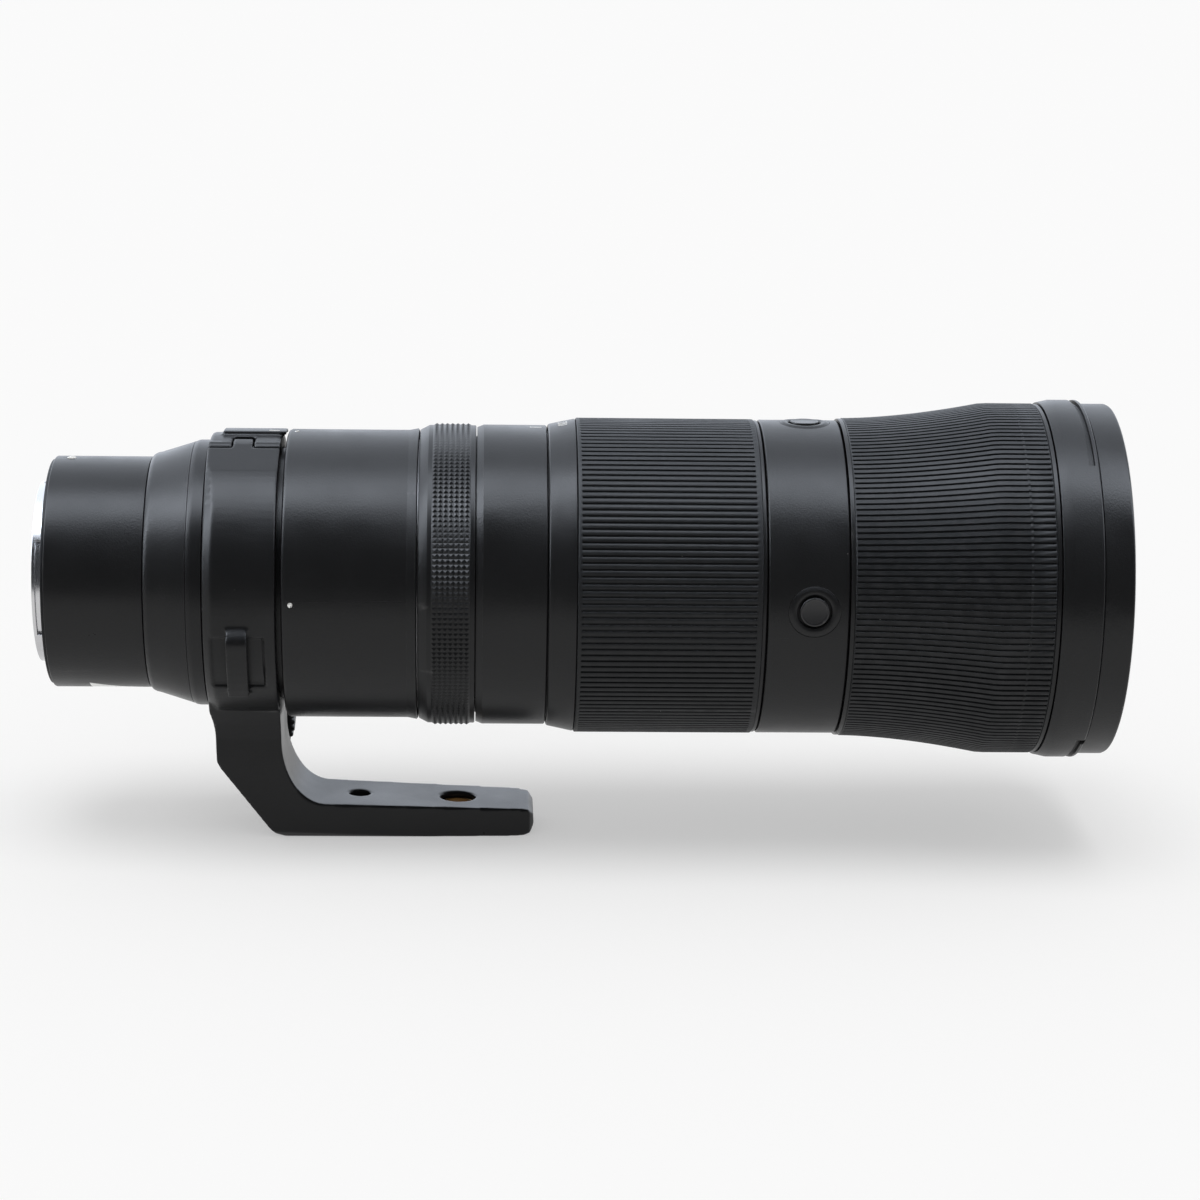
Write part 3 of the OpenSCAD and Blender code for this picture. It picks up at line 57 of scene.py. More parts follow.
# Sizes taken from the frame
def span(node):
    """Rear end, front end and largest radius of a turned CAD node."""
    low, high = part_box(node)
    return low.x / MM, high.x / MM, max(high.y, high.z) / MM


FOOT_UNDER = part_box("collar_foot")[0].z / MM
BUTTON_X = sum(v.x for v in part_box("side_button")) / 2 / MM
BUTTON_BARREL_R = span("button_barrel")[2]


# Meshes
SHARP = 30
TURNED_POINTS = 256


def around(count):
    """Angles in radians, evenly spaced round a circle."""
    return np.arange(count) * 2 * math.pi / count


def on_barrel(x, r, e):
    """Points at a station, a radius and an elevation in radians, as an array of x, y, z."""
    x, r, e = np.broadcast_arrays(x, r, e)
    return np.stack([x, -r * np.cos(e), r * np.sin(e)], axis=-1)


def loft(name, rows, loop=True, caps=False, sharp=SHARP, split=None):
    """Surface through rows of points, each row closed on itself. The quads between the two
    rows of split become triangles that meet in the peaks of every second point."""
    count, size = rows.shape[:2]
    index = np.arange(count * size).reshape(count, size)
    upper = np.roll(index, -1, axis=0) if loop else index[1:]
    lower = index if loop else index[:-1]
    quads = np.stack([lower, np.roll(lower, -1, axis=1), np.roll(upper, -1, axis=1), upper], axis=-1)
    if split:
        first, last = split
        faces = quads[:first].reshape(-1, 4).tolist() + quads[last:].reshape(-1, 4).tolist()
        for row in range(first, last):
            for column in range(size):
                a, b, c, d = quads[row, column].tolist()
                even = (row - first + column) % 2 == 0
                faces += [[a, b, c], [a, c, d]] if even else [[a, b, d], [b, c, d]]
    else:
        faces = quads.reshape(-1, 4).tolist()
    if caps:
        faces += [index[0][::-1].tolist(), index[-1].tolist()]
    return solid(name, rows.reshape(-1, 3), faces, sharp)


def solid(name, points, faces, sharp=SHARP):
    """Object from points in millimetres, with edges over an angle kept sharp."""
    mesh = bpy.data.meshes.new(name)
    mesh.from_pydata((np.asarray(points) * MM).tolist(), [], faces)
    mesh.validate()
    obj = bpy.data.objects.new(name, mesh)
    bpy.context.scene.collection.objects.link(obj)
    outward(mesh)
    mesh.polygons.foreach_set("use_smooth", np.ones(len(mesh.polygons), bool))
    mesh.set_sharp_from_angle(angle=math.radians(sharp))
    return obj


def outward(mesh):
    """Turns the faces of a closed mesh so that they all look out."""
    work = bmesh.new()
    work.from_mesh(mesh)
    bmesh.ops.recalc_face_normals(work, faces=work.faces)
    work.to_mesh(mesh)
    work.free()


def turned(name, profile, count=TURNED_POINTS, sharp=SHARP):
    """Turned piece from a closed profile of x and r."""
    return loft(name, on_barrel(profile[:, :1], profile[:, 1:], around(count)[None, :]), sharp=sharp)


# Finishes. A scale is in patches, cells or marks per metre, and the specks' range in cells.
PATCH_SCALE = 45
PATCH_DETAIL = 5
PATCH_RANGE = (0.3, 0.7)
WORN_RANGE = (0.53, 0.62)
WORN_PATCH_SCALE = 300
WORN_PATCH_DETAIL = 4
WORN_PATCH_RANGE = (0.42, 0.62)
SPECK_SCALE = 210.0
SPECK_RANGE = (0.018, 0.034)
SPECK_STEP = 0.01
SPECK_STRENGTH = 0.8
SPECK_TONE = (0.42, 0.42, 0.41)
GRAIN_FLATNESS = 6
GRAIN_DETAIL = 2
TURNING_SCALE = 2600
TURNING_DETAIL = 4
TURNING_DEPTH = 0.02


def link(tree, source, target):
    tree.links.new(source, target)


def node(tree, kind, **inputs):
    """Shader node, with its settings and inputs given by name."""
    made = tree.nodes.new(kind)
    for key, value in inputs.items():
        if hasattr(made, key):
            setattr(made, key, value)
        else:
            made.inputs[key.replace("_", " ").title()].default_value = value
    return made


def noise(tree, place, scale, detail=3.0, roughness=0.55):
    made = node(tree, "ShaderNodeTexNoise", Scale=scale, Detail=detail, Roughness=roughness)
    link(tree, place, made.inputs["Vector"])
    return made.outputs["Fac"]


def remap(tree, value, low, high, to_low, to_high):
    """Value taken from one range to another and held at its ends."""
    made = tree.nodes.new("ShaderNodeMapRange")
    for i, number in enumerate((low, high, to_low, to_high), start=1):
        made.inputs[i].default_value = number
    link(tree, value, made.inputs[0])
    return made.outputs[0]


def maths(tree, operation, a, b):
    """Sum, product or the like of two values of the node tree."""
    made = node(tree, "ShaderNodeMath", operation=operation)
    link(tree, a, made.inputs[0])
    link(tree, b, made.inputs[1])
    return made.outputs[0]


def lathe_place(tree, place):
    """Coordinates that run only along the lens and outwards, for marks left by turning."""
    parts = node(tree, "ShaderNodeSeparateXYZ")
    link(tree, place, parts.inputs[0])
    across = node(tree, "ShaderNodeCombineXYZ")
    link(tree, parts.outputs[1], across.inputs[1])
    link(tree, parts.outputs[2], across.inputs[2])
    out = node(tree, "ShaderNodeVectorMath", operation="LENGTH")
    link(tree, across.outputs[0], out.inputs[0])
    joined = node(tree, "ShaderNodeCombineXYZ")
    link(tree, parts.outputs[0], joined.inputs[0])
    link(tree, out.outputs["Value"], joined.inputs[1])
    return joined.outputs[0]


def tint(tree, colour, other, share):
    """Colour that goes over to another where share rises."""
    mix = node(tree, "ShaderNodeMix", data_type="RGBA")
    if isinstance(colour, tuple):
        mix.inputs[6].default_value = (*colour, 1)
    else:
        link(tree, colour, mix.inputs[6])
    mix.inputs[7].default_value = (*other, 1)
    link(tree, share, mix.inputs[0])
    return mix.outputs[2]


def worn(tree, place, tone, wear, wear_colour):
    """Tone that is rubbed paler along the edges, in patches."""
    edges = node(tree, "ShaderNodeNewGeometry").outputs["Pointiness"]
    rubbed = remap(tree, edges, *WORN_RANGE, 0.0, wear)
    patches = noise(tree, place, WORN_PATCH_SCALE, WORN_PATCH_DETAIL)
    patches = remap(tree, patches, *WORN_PATCH_RANGE, 0.0, 1.0)
    return tint(tree, tone, wear_colour, maths(tree, "MULTIPLY", rubbed, patches))


def dusty(tree, place, tone, dust):
    """Tone with pale specks in a share of the cells of a pattern."""
    specks = node(tree, "ShaderNodeTexVoronoi", Scale=SPECK_SCALE, Randomness=1.0)
    link(tree, place, specks.inputs["Vector"])
    near = remap(tree, specks.outputs["Distance"], *SPECK_RANGE, 1.0, 0.0)
    chosen = node(tree, "ShaderNodeSeparateColor")
    link(tree, specks.outputs["Color"], chosen.inputs[0])
    some = remap(tree, chosen.outputs[0], 1 - dust, 1 - dust + SPECK_STEP, 0.0, SPECK_STRENGTH)
    return tint(tree, tone, SPECK_TONE, maths(tree, "MULTIPLY", near, some))


def relief(tree, place, grain, grain_size, turning):
    """Bumps of the grain and of the marks left by turning, or nothing where there are none."""
    height = None
    if grain:
        distance = grain_size * MM / GRAIN_FLATNESS
        height = node(tree, "ShaderNodeBump", Strength=grain, Distance=distance)
        grains = noise(tree, place, 1 / (grain_size * MM), GRAIN_DETAIL)
        link(tree, grains, height.inputs["Height"])
    if turning:
        marks = node(tree, "ShaderNodeBump", Strength=turning, Distance=TURNING_DEPTH * MM)
        lines = noise(tree, lathe_place(tree, place), TURNING_SCALE, TURNING_DETAIL)
        link(tree, lines, marks.inputs["Height"])
        if height:
            link(tree, height.outputs[0], marks.inputs["Normal"])
        height = marks
    return height


def finish(name, colour, roughness, metallic=0.0, vary=0.06, grain=0.0, grain_size=0.25,
           turning=0.0, wear=0.0, wear_colour=(0.25, 0.25, 0.25), dust=0.0, **sockets):
    """Principled surface with grain, turning marks, worn edges and specks of dust."""
    material = bpy.data.materials.new(name)
    material.use_nodes = True
    tree = material.node_tree
    shader = tree.nodes["Principled BSDF"]
    shader.inputs["Base Color"].default_value = (*colour, 1)
    shader.inputs["Metallic"].default_value = metallic
    for key, value in sockets.items():
        shader.inputs[key.replace("_", " ")].default_value = value
    place = node(tree, "ShaderNodeTexCoord").outputs["Object"]
    patches = noise(tree, place, PATCH_SCALE, PATCH_DETAIL)
    link(tree, remap(tree, patches, *PATCH_RANGE, roughness - vary, roughness + vary),
         shader.inputs["Roughness"])
    tone = colour
    if wear:
        tone = worn(tree, place, tone, wear, wear_colour)
    if dust:
        tone = dusty(tree, place, tone, dust)
    if tone is not colour:
        link(tree, tone, shader.inputs["Base Color"])
    height = relief(tree, place, grain, grain_size, turning)
    if height:
        link(tree, height.outputs[0], shader.inputs["Normal"])
    return material


LOW_GLOSS = {"Specular_IOR_Level": 0.25}
FINISHES = {
    "black_barrel": finish("black_barrel", (0.0088, 0.0090, 0.0096), 0.33, grain=0.5,
                           grain_size=0.5, wear=0.10, dust=0.05, **LOW_GLOSS),
    "black_metal": finish("black_metal", (0.0078, 0.0080, 0.0086), 0.33, grain=0.5,
                          grain_size=0.4, wear=0.14, dust=0.04, **LOW_GLOSS),
    "inner_metal": finish("inner_metal", (0.35, 0.35, 0.36), 0.34, metallic=1.0, turning=0.5),
    "inner_black": finish("inner_black", (0.012, 0.012, 0.013), 0.62, grain=0.3, dust=0.02),
    "grip_rubber": finish("grip_rubber", (0.0088, 0.0095, 0.0105), 0.5, grain=0.4, grain_size=0.18,
                          wear=0.22, wear_colour=(0.09, 0.09, 0.095), dust=0.10,
                          **LOW_GLOSS),
    "bayonet_chrome": finish("bayonet_chrome", (0.56, 0.56, 0.57), 0.24, metallic=1.0, vary=0.05,
                             turning=0.6, wear=0.3, wear_colour=(0.9, 0.9, 0.9)),
    "steel": finish("steel", (0.55, 0.55, 0.56), 0.3, metallic=1.0, turning=0.6),
    "gold_contact": finish("gold_contact", (0.83, 0.62, 0.25), 0.22, metallic=1.0, vary=0.08),
    "brass_insert": finish("brass_insert", (0.47, 0.33, 0.17), 0.36, metallic=1.0, turning=0.6),
    "lens_glass": finish("lens_glass", (0.97, 0.98, 1.0), 0.012, vary=0.008, Transmission_Weight=1.0,
                         IOR=1.6, Thin_Film_Thickness=330.0, Thin_Film_IOR=1.35),
    "white_paint": finish("white_paint", (0.82, 0.82, 0.80), 0.45, grain=0.3, wear=0.2,
                          wear_colour=(0.4, 0.4, 0.4)),
    "button_black": finish("button_black", (0.012, 0.012, 0.013), 0.36, grain=0.2, wear=0.15, dust=0.05),
    "board_green": finish("board_green", (0.02, 0.11, 0.04), 0.4, grain=0.3, wear=0.3,
                          wear_colour=(0.3, 0.27, 0.12)),
}


def place_piece(obj, body, slot, *nodes):
    """Gives a piece its finish and its body, and hides the CAD nodes that it stands for."""
    obj.data.materials.clear()
    obj.data.materials.append(FINISHES[slot])
    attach(obj, body)
    if nodes:
        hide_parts(*nodes)
    return obj


# CAD nodes: welded, with their edges broken, but for three bodies that are softened all over.
# The pair of a softened body is the size of its voxels and the number of smoothing passes.
SOFT_NODES = {"collar_foot": (0.45, 4), "collar_arm": (0.45, 4), "clamp_knob": (0.4, 3)}
SOFT_KEEP = 0.35
SOFT_FACTOR = 0.5
WELD_REACH = 0.002
EDGE_BREAK = 0.14
EDGE_ANGLE = 28
EDGE_SEGMENTS = 2
FACE_WEIGHT = 80
FINE_EDGE_BREAK = 0.05
FINE_EDGE_NODES = ("rear_cone", "collar_seat", "mount_barrel")


def welded(obj):
    """Shades a CAD node smoothly and joins the points that its file left split."""
    obj.data.polygons.foreach_set("use_smooth", np.ones(len(obj.data.polygons), bool))
    if "custom_normal" in obj.data.attributes:
        obj.data.attributes.remove(obj.data.attributes["custom_normal"])
    weld = obj.modifiers.new("weld", "WELD")
    weld.merge_threshold = WELD_REACH * MM


def broken_edges(obj, width):
    """Narrow bevels on the edges, with the flat faces left flat."""
    welded(obj)
    bevel = obj.modifiers.new("edges", "BEVEL")
    bevel.width = width * MM
    bevel.segments = EDGE_SEGMENTS
    bevel.limit_method = "ANGLE"
    bevel.angle_limit = math.radians(EDGE_ANGLE)
    bevel.use_clamp_overlap = False
    bevel.harden_normals = False
    bevel.miter_outer = "MITER_ARC"
    normals = obj.modifiers.new("normals", "WEIGHTED_NORMAL")
    normals.keep_sharp = False
    normals.weight = FACE_WEIGHT


def soft_edges(obj, voxel, passes):
    """Rounds a body all over by remeshing and smoothing it."""
    welded(obj)
    remesh = obj.modifiers.new("body", "REMESH")
    remesh.mode = "VOXEL"
    remesh.voxel_size = voxel * MM
    remesh.use_smooth_shade = True
    smooth = obj.modifiers.new("soft", "SMOOTH")
    smooth.factor = SOFT_FACTOR
    smooth.iterations = passes
    fewer = obj.modifiers.new("fewer", "DECIMATE")
    fewer.ratio = SOFT_KEEP


for part in frame["record"]["subparts"]:
    name = part["node"]
    cad = NODES[name]
    cad.data.materials.clear()
    cad.data.materials.append(FINISHES[part["material_slot"]])
    if name in SOFT_NODES:
        soft_edges(cad, *SOFT_NODES[name])
    else:
        broken_edges(cad, FINE_EDGE_BREAK if name in FINE_EDGE_NODES else EDGE_BREAK)


# Ribbed grips and the knurled ring
GRIP_SHARP = 38
# Each pair is a place in the pitch of one rib and the share of the groove's depth there
RIB_SHARES = [(-0.13, 1), (0.13, 1), (0.165, 0.18), (0.20, 0), (0.80, 0), (0.835, 0.18)]


def rib_angles(count):
    """Angles and groove shares of the samples round a ribbed grip."""
    starts = around(count)[:, None]
    places = np.array([p[0] for p in RIB_SHARES])[None, :]
    angles = (starts + places * 2 * math.pi / count).reshape(-1)
    return angles, np.tile([p[1] for p in RIB_SHARES], count)


def ribbed_grip(name, rows, inner_r, count):
    """Grip from rows of x, radius and groove depth, closed by an inner face."""
    rows = np.array(rows, float)
    angles, groove = rib_angles(count)
    radii = rows[:, 1:2] - rows[:, 2:3] * groove[None, :]
    outer = on_barrel(rows[:, :1], radii, angles[None, :])
    inner = on_barrel(np.array([[rows[-1, 0]], [rows[0, 0]]]), inner_r, angles[None, :])
    return loft(name, np.concatenate([outer, inner]), sharp=GRIP_SHARP)


GRIP_EDGE = 0.35
GRIP_WALL = 1.7
ZOOM_RIBS = 150
ZOOM_RIB_DEPTH = 0.5
ZOOM_REAR_LAND = 1.1
ZOOM_FRONT_LAND = 1.6


def zoom_rubber():
    """Grip of the zoom ring, with a plain land at each end of its ribs."""
    rear, front, top_r = span("zoom_grip")
    rows = [
        (rear, top_r - GRIP_EDGE, 0), (rear + GRIP_EDGE / 2, top_r - GRIP_EDGE / 4, 0),
        (rear + GRIP_EDGE, top_r, 0), (rear + ZOOM_REAR_LAND, top_r, 0),
        (rear + ZOOM_REAR_LAND + GRIP_EDGE / 2, top_r, ZOOM_RIB_DEPTH),
        (front - ZOOM_FRONT_LAND - GRIP_EDGE / 2, top_r, ZOOM_RIB_DEPTH),
        (front - ZOOM_FRONT_LAND, top_r, 0), (front - GRIP_EDGE, top_r, 0),
        (front - GRIP_EDGE / 2, top_r - GRIP_EDGE / 4, 0), (front, top_r - GRIP_EDGE, 0)]
    return ribbed_grip("zoom_rubber", rows, top_r - GRIP_WALL, ZOOM_RIBS)


place_piece(zoom_rubber(), "zoom", "grip_rubber", "zoom_grip")

FOCUS_RIBS = 168
FOCUS_RIB_DEPTH = 0.55
FOCUS_REAR_R = 47.8
FLARE_SHARE = 0.72
FLARE_POWER = 1.7
LIP = 1.2
PARTING_SHARE = 0.858
PARTING_W = 0.8
PARTING_EDGE = 0.1
PARTING_DEPTH = 0.28
FIRST_STATION = 3
STATIONS = 18


def focus_rubber():
    """Grip that swells along a power curve and then runs level, with a parting line."""
    ring_rear, ring_front, _ = span("focus_ring")
    rear, front, top_r = span("focus_grip")
    length = ring_front - ring_rear

    def flare_r(x):
        start = ring_rear + LIP
        share = min(1, max(0, (x - start) / (length * FLARE_SHARE - LIP)))
        return FOCUS_REAR_R + (top_r - FOCUS_REAR_R) * share ** FLARE_POWER

    parting = ring_rear + length * PARTING_SHARE
    line_rear, line_front = parting - PARTING_W / 2, parting + PARTING_W / 2
    stations = [(rear + GRIP_EDGE, 0), (rear + 2 * GRIP_EDGE, FOCUS_RIB_DEPTH)]
    stations += [(x, FOCUS_RIB_DEPTH)
                 for x in np.linspace(rear + FIRST_STATION, parting - PARTING_W, STATIONS)]
    stations += [(line_rear, FOCUS_RIB_DEPTH), (line_rear + PARTING_EDGE, PARTING_DEPTH),
                 (line_front - PARTING_EDGE, PARTING_DEPTH), (line_front, FOCUS_RIB_DEPTH),
                 (front - 2 * GRIP_EDGE, FOCUS_RIB_DEPTH), (front - GRIP_EDGE, 0)]
    rows = [(rear, flare_r(rear) - GRIP_EDGE, 0)]
    rows += [(x, flare_r(x), depth) for x, depth in stations]
    rows += [(front, flare_r(front) - GRIP_EDGE, 0)]
    return ribbed_grip("focus_rubber", rows, FOCUS_REAR_R - GRIP_WALL, FOCUS_RIBS)


place_piece(focus_rubber(), "focus", "grip_rubber", "focus_grip")

KNURL_COUNT = 180
KNURL_ROWS = 7
KNURL_DEPTH = 0.42
KNURL_REAR = 4.1
KNURL_FRONT = 1.6
SHOULDER_W = 2.7
SHOULDER_DROP = 1.3
LAND_DROP = 0.55
CONTROL_WALL = 2.4
KNURL_SHARP = 20


def knurl_points(x, radius, angles):
    """One row of points, with one radius for all or one for each."""
    return on_barrel(x, np.broadcast_to(radius, angles.shape), angles)


def knurled_ring():
    """Ring whose middle carries rows of small square pyramids."""
    rear, front, tip_r = span("control_ring")
    land_r, floor_r = tip_r - LAND_DROP, tip_r - KNURL_DEPTH
    angles = around(2 * KNURL_COUNT)
    start = rear + KNURL_REAR
    step = (front - KNURL_FRONT - start) / (2 * KNURL_ROWS)
    corner = GRIP_EDGE / 2
    before = [(rear, tip_r - CONTROL_WALL), (rear, land_r - SHOULDER_DROP - corner),
              (rear + corner, land_r - SHOULDER_DROP), (rear + SHOULDER_W, land_r),
              (start - corner, land_r)]
    after = [(front - KNURL_FRONT + corner, land_r), (front - GRIP_EDGE, land_r),
             (front - GRIP_EDGE / 3, land_r - GRIP_EDGE / 4), (front, land_r - GRIP_EDGE),
             (front, tip_r - CONTROL_WALL)]
    rows = [knurl_points(x, r, angles) for x, r in before]
    first = len(rows)
    peaks = np.arange(2 * KNURL_COUNT) % 2
    for i in range(2 * KNURL_ROWS + 1):
        rows.append(knurl_points(start + i * step, floor_r + KNURL_DEPTH * peaks * (i % 2), angles))
    last = len(rows) - 1
    rows += [knurl_points(x, r, angles) for x, r in after]
    return loft("control_knurl", np.stack(rows), sharp=KNURL_SHARP, split=(first, last))


place_piece(knurled_ring(), "control", "black_metal", "control_ring")

# Bands over the shallow cones of two barrels, so that the creases beside them show.
# The pair of a cone is its length and its rise.
SEAM = 0.3
MAIN_EDGE = 0.4
MAIN_FLARE = (2.5, 0.5)
MID_BEVEL = (2.0, 0.8)
BAND_LIFT = 0.02
BAND_T = 0.25
BAND_SHARES = [0, 0.06, 0.5, 0.94, 1]
BAND_SHARP = 8


def cone_band(name, x, end_r, size):
    """Thin ring that widens towards the front to a radius, over a length and a rise."""
    length, rise = size
    start_r, end_r = end_r - rise + BAND_LIFT, end_r + BAND_LIFT
    outer = [(x + length * share, start_r + rise * share) for share in BAND_SHARES]
    return turned(name, np.array([(x, start_r - BAND_T), *outer, (x + length, end_r - BAND_T)]),
                  sharp=BAND_SHARP)


_, front, top_r = span("main_barrel")
place_piece(cone_band("flare_band", front - MAIN_EDGE - MAIN_FLARE[0], top_r, MAIN_FLARE),
            "barrel", "black_barrel")
mid_from = span("control_ring")[1] + SEAM
place_piece(cone_band("bevel_band", mid_from, span("mid_barrel")[2], MID_BEVEL),
            "barrel", "black_barrel")


# Push buttons and their raised rims
BEZEL_R = 7.5
BEZEL_IN_R = 4.95
BEZEL_PROUD = 0.35
BUTTON_PROUD = 0.45
BEZEL_SINK = 1.2
BEZEL_FOOT_INSET = 0.4
BEZEL_SHARP = 50
CAP_SHARP = 40
BUTTON_POINTS = 72
# Shares of the rim's width and height, from its outer edge inwards
BEZEL_SHARES = [(1.0, -0.2), (0.94, 0.05), (0.86, 0.22), (0.76, 0.52), (0.65, 0.83), (0.54, 0.98),
                (0.44, 1.0), (0.32, 0.92), (0.16, 0.62), (0.05, 0.2), (0.0, -0.4)]


def bezel(name, e):
    """Soft raised rim that follows the barrel round a push button."""
    turn = around(BUTTON_POINTS)
    rows = []
    for share, lift in BEZEL_SHARES:
        rho = BEZEL_IN_R + (BEZEL_R - BEZEL_IN_R) * share
        side = rho * np.sin(turn)
        rows.append(on_barrel(BUTTON_X + rho * np.cos(turn), BUTTON_BARREL_R + BEZEL_PROUD * lift,
                              math.radians(e) + side / BUTTON_BARREL_R))
    for rho in (BEZEL_IN_R, BEZEL_R - BEZEL_FOOT_INSET):
        rows.append(on_barrel(BUTTON_X + rho * np.cos(turn), BUTTON_BARREL_R - BEZEL_SINK,
                              math.radians(e) + rho * np.sin(turn) / BUTTON_BARREL_R))
    return loft(name, np.stack(rows), sharp=BEZEL_SHARP)


# Radius and height of the cap's points, from the flat of its face to the end of its stem
CAP_PROFILE = [(3.3, -0.10), (3.5, -0.06), (3.62, 0.0), (3.95, 0.0), (4.1, -0.04),
               (4.17, -0.12), (4.2, -0.25), (4.2, -1.2), (2.0, -1.2), (2.0, -4.0)]


def cap(name, e):
    """Flat round button with a thin rim."""
    turn = around(BUTTON_POINTS)
    out = np.array([0, -math.cos(math.radians(e)), math.sin(math.radians(e))])
    side = np.array([0, math.sin(math.radians(e)), math.cos(math.radians(e))])
    along = np.array([1.0, 0, 0])
    rows = []
    for rho, lift in CAP_PROFILE:
        rows.append(BUTTON_X * along + (BUTTON_BARREL_R + BUTTON_PROUD + lift) * out
                    + rho * np.cos(turn)[:, None] * along + rho * np.sin(turn)[:, None] * side)
    return loft(name, np.stack(rows), loop=False, caps=True, sharp=CAP_SHARP)


BUTTONS = [("side", 0), ("top", 90), ("far", 180), ("under", 270)]
for word, e in BUTTONS:
    rim = bezel(f"bezel_{word}", e)
    place_piece(rim, "barrel", "black_barrel", "button_bezels")
    place_piece(cap(f"cap_{word}", e), f"button_{word}", "button_black", f"{word}_button")


# Plain numbers of the zoom scale, and the blank plate under the mount
SCALE = [("200", 90), ("300", 107), ("400", 124), ("500", 141), ("600", 158)]
SCALE_REAR_R = 45.3
SCALE_FRONT_R = 46.9
NUMBER_H = 3.0
NUMBER_FONT_SHARE = 1.35
NUMBER_CURVE_STEPS = 4
NUMBER_LIFT = 0.03
NUMBER_SINK = 0.12


def wrapped_number(text, e):
    """Number bent round the zoom ring, its top towards the front."""
    curve = bpy.data.curves.new(f"curve_{text}", "FONT")
    curve.body = text
    curve.align_x = "CENTER"
    curve.align_y = "CENTER"
    curve.size = NUMBER_H * NUMBER_FONT_SHARE
    curve.extrude = (NUMBER_LIFT + NUMBER_SINK) / 2
    curve.resolution_u = NUMBER_CURVE_STEPS
    maker = bpy.data.objects.new(f"maker_{text}", curve)
    bpy.context.scene.collection.objects.link(maker)
    bpy.context.view_layer.update()
    mesh = bpy.data.meshes.new_from_object(maker)
    bpy.data.objects.remove(maker)
    rear, front, _ = span("zoom_ring")
    scale_end = span("zoom_grip")[0]
    centre = (rear + scale_end) / 2
    points = np.zeros(len(mesh.vertices) * 3)
    mesh.vertices.foreach_get("co", points)
    points = points.reshape(-1, 3)
    x = centre + points[:, 1]
    share = (x - rear) / (scale_end - rear)
    surface = SCALE_REAR_R + (SCALE_FRONT_R - SCALE_REAR_R) * share
    r = surface + points[:, 2] - (NUMBER_SINK - NUMBER_LIFT) / 2
    placed = on_barrel(x, r, math.radians(e) - points[:, 0] / surface)
    mesh.vertices.foreach_set("co", (placed * MM).reshape(-1))
    mesh.name = f"scale_{text}"
    obj = bpy.data.objects.new(f"scale_{text}", mesh)
    bpy.context.scene.collection.objects.link(obj)
    return obj


for text, e in SCALE:
    place_piece(wrapped_number(text, e), "zoom", "white_paint")

PLATE_ELEVATION = 270
PLATE_FROM = 12.1
PLATE_LEN = 13.4
PLATE_REAR_HALF_W = 16.9
PLATE_FRONT_HALF_W = 9.4
PLATE_SINK = 0.04
PLATE_T = 0.2
PLATE_ROWS = 9
PLATE_POINTS = 25


def blank_plate():
    """Thin pale plate let into the underside of the mount barrel, narrower towards the front."""
    r = span("mount_barrel")[2] - PLATE_SINK
    rows = []
    for share in np.linspace(0, 1, PLATE_ROWS):
        half = math.asin((PLATE_REAR_HALF_W + (PLATE_FRONT_HALF_W - PLATE_REAR_HALF_W) * share) / r)
        angles = math.radians(PLATE_ELEVATION) + np.linspace(-half, half, PLATE_POINTS)
        x = PLATE_FROM + PLATE_LEN * share
        rows.append(np.concatenate([on_barrel(x, r, angles), on_barrel(x, r - PLATE_T, angles[::-1])]))
    return loft("blank_plate", np.stack(rows), loop=False, caps=True)


place_piece(blank_plate(), "barrel", "white_paint")


# Camera, light and floor
CAMERA_PLACE = (127.9, -963.7, 216.4)
CAMERA_RIGHT = (0.99932, -0.03364, 0.01500)
CAMERA_UP = (-0.00698, 0.22680, 0.97392)
CAMERA_AHEAD = (0.03616, 0.97336, -0.22641)
CAMERA_LENS = 98.5
SENSOR = 36
CLIP_NEAR = 10
CLIP_FAR = 200000


def add_camera():
    """Camera at the place and with the three axes that were fitted to the photograph."""
    data = bpy.data.cameras.new("camera")
    data.lens = CAMERA_LENS
    data.sensor_width = SENSOR
    data.clip_start = CLIP_NEAR * MM
    data.clip_end = CLIP_FAR * MM
    camera = bpy.data.objects.new("camera", data)
    bpy.context.scene.collection.objects.link(camera)
    turn = Matrix((CAMERA_RIGHT, CAMERA_UP, [-v for v in CAMERA_AHEAD])).transposed()
    camera.matrix_world = Matrix.Translation(Vector(CAMERA_PLACE) * MM) @ turn.to_4x4()
    bpy.context.scene.camera = camera


# SIDE_FROM and SIDE_TO are the X of a direction whose length is one
SUN_STRENGTH = 1.1
SUN_SPREAD = 40
SUN_LEAN = 9
FLOOR_R = 14000
FLOOR_FRONT = 380
FLOOR_POINTS = 96
FLOOR_ROUGHNESS = 0.9
FLOOR_TONE = (0.6, 0.6, 0.6)
FLOOR_GLOW = 0.39
BACKDROP = 0.94
DOME = 0.6
FRONT_GLOW = 0.05
SOFTBOX_GLOW = 7.6
BACK_GLOW = 1.6
SOFTBOX_FROM = (60, 70)
SOFTBOX_TO = (88, 100)
SIDE_FROM, SIDE_TO = -0.12, -0.75
SIDE_GAIN = 1.8
STUDIO_TINT = (0.93, 1.0, 1.11)


def add_sun():
    """Soft light from above; gloss shows the softbox of the world in its place."""
    data = bpy.data.lights.new("softbox", "SUN")
    data.energy = SUN_STRENGTH
    data.angle = math.radians(SUN_SPREAD)
    lamp = bpy.data.objects.new("softbox", data)
    lamp.rotation_euler = (math.radians(SUN_LEAN), 0, 0)
    lamp.visible_glossy = False
    bpy.context.scene.collection.objects.link(lamp)


def background(tree, strength, colour=(1, 1, 1)):
    made = node(tree, "ShaderNodeBackground")
    made.inputs["Color"].default_value = (*colour, 1)
    if isinstance(strength, float):
        made.inputs["Strength"].default_value = strength
    else:
        link(tree, strength, made.inputs["Strength"])
    return made.outputs[0]


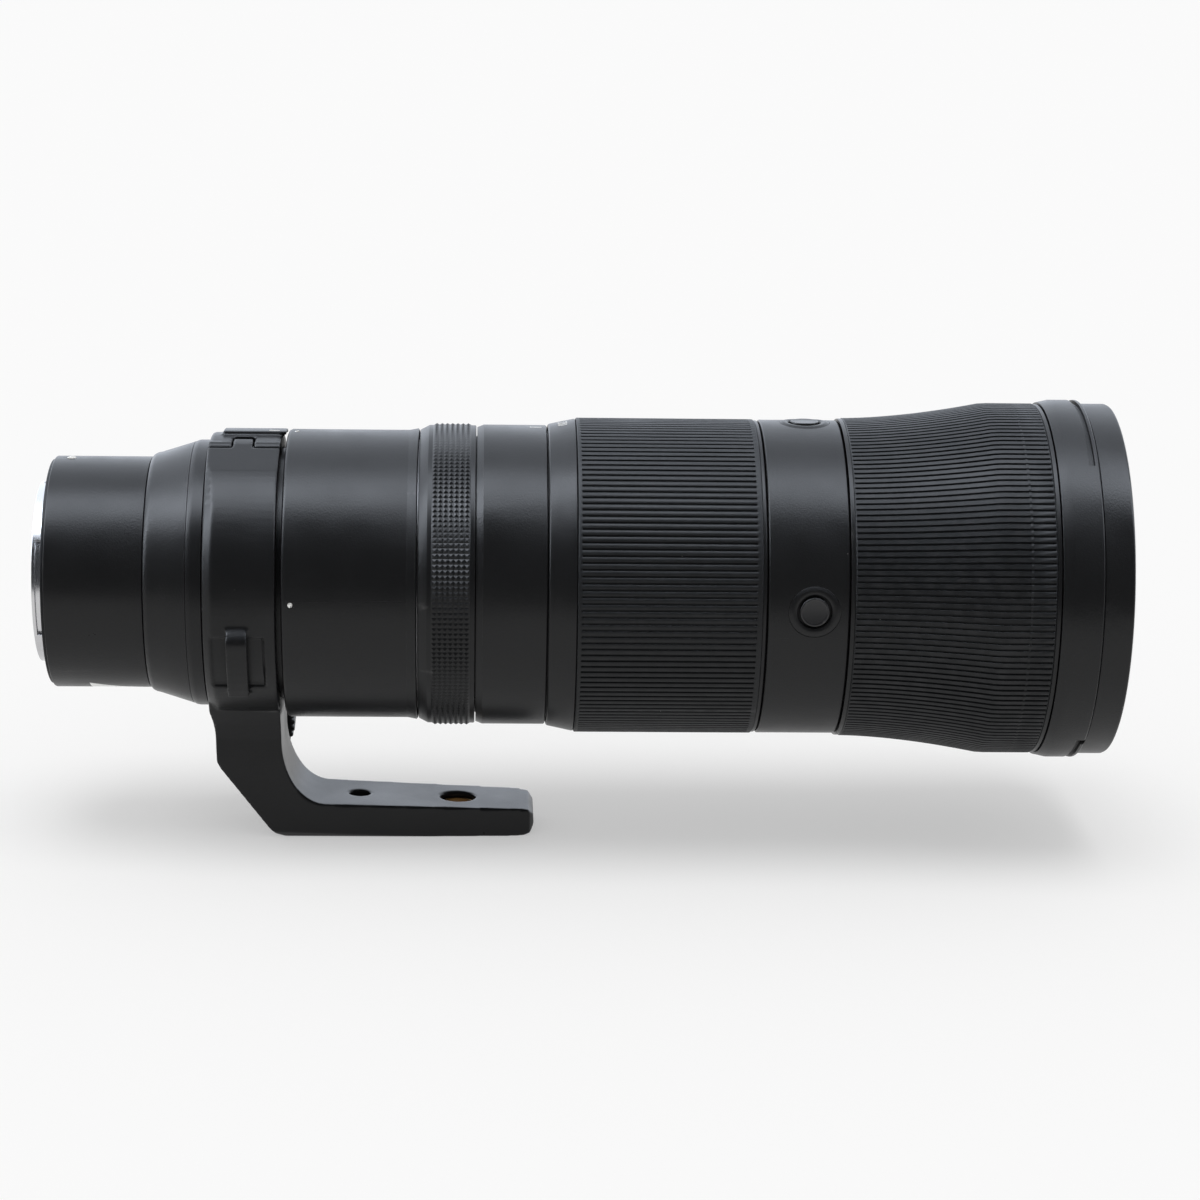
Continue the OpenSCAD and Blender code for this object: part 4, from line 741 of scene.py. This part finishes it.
def chosen_by(tree, ray, other, wanted):
    """The wanted shader for rays of one kind, and the other one for the rest."""
    mix = node(tree, "ShaderNodeMixShader")
    link(tree, ray, mix.inputs[0])
    link(tree, other, mix.inputs[1])
    link(tree, wanted, mix.inputs[2])
    return mix.outputs[0]


def add_world():
    """Even dome for the light, a pale backdrop, and for gloss a dark front under a softbox
    that is brighter towards the mount end."""
    world = bpy.data.worlds.new("studio")
    bpy.context.scene.world = world
    world.use_nodes = True
    tree = world.node_tree
    tree.nodes.clear()
    out = node(tree, "ShaderNodeOutputWorld")
    direction = node(tree, "ShaderNodeTexCoord").outputs["Generated"]
    parts = node(tree, "ShaderNodeSeparateXYZ")
    link(tree, direction, parts.inputs[0])
    forward = node(tree, "ShaderNodeMath", operation="MULTIPLY")
    forward.inputs[1].default_value = -1
    link(tree, parts.outputs[1], forward.inputs[0])
    angle = node(tree, "ShaderNodeMath", operation="ARCTAN2")
    link(tree, parts.outputs[2], angle.inputs[0])
    link(tree, forward.outputs[0], angle.inputs[1])
    rise = remap(tree, angle.outputs[0], *map(math.radians, SOFTBOX_FROM), FRONT_GLOW, SOFTBOX_GLOW)
    fall = remap(tree, angle.outputs[0], *map(math.radians, SOFTBOX_TO), 0.0, BACK_GLOW - SOFTBOX_GLOW)
    side = remap(tree, parts.outputs[0], SIDE_TO, SIDE_FROM, SIDE_GAIN, 1.0)
    glow = maths(tree, "MULTIPLY", maths(tree, "ADD", rise, fall), side)
    rays = node(tree, "ShaderNodeLightPath").outputs
    result = chosen_by(tree, rays["Is Glossy Ray"], background(tree, DOME),
                       background(tree, glow, STUDIO_TINT))
    result = chosen_by(tree, rays["Is Camera Ray"], result, background(tree, BACKDROP))
    link(tree, result, out.inputs[0])


def add_floor():
    """Round pale floor, cut off in front of the lens, with a little light of its own."""
    angles = around(FLOOR_POINTS)
    points = np.stack([FLOOR_R * np.cos(angles), np.maximum(FLOOR_R * np.sin(angles), -FLOOR_FRONT),
                       np.full(len(angles), FOOT_UNDER)], axis=-1)
    floor = solid("floor", points, [list(range(len(angles)))])
    material = bpy.data.materials.new("floor")
    material.use_nodes = True
    shader = material.node_tree.nodes["Principled BSDF"]
    shader.inputs["Base Color"].default_value = (*FLOOR_TONE, 1)
    shader.inputs["Roughness"].default_value = FLOOR_ROUGHNESS
    shader.inputs["Specular IOR Level"].default_value = 0.0
    shader.inputs["Emission Color"].default_value = (1, 1, 1, 1)
    shader.inputs["Emission Strength"].default_value = FLOOR_GLOW
    floor.data.materials.append(material)


add_camera()
add_sun()
add_world()
add_floor()
bpy.context.scene.view_settings.view_transform = "Standard"
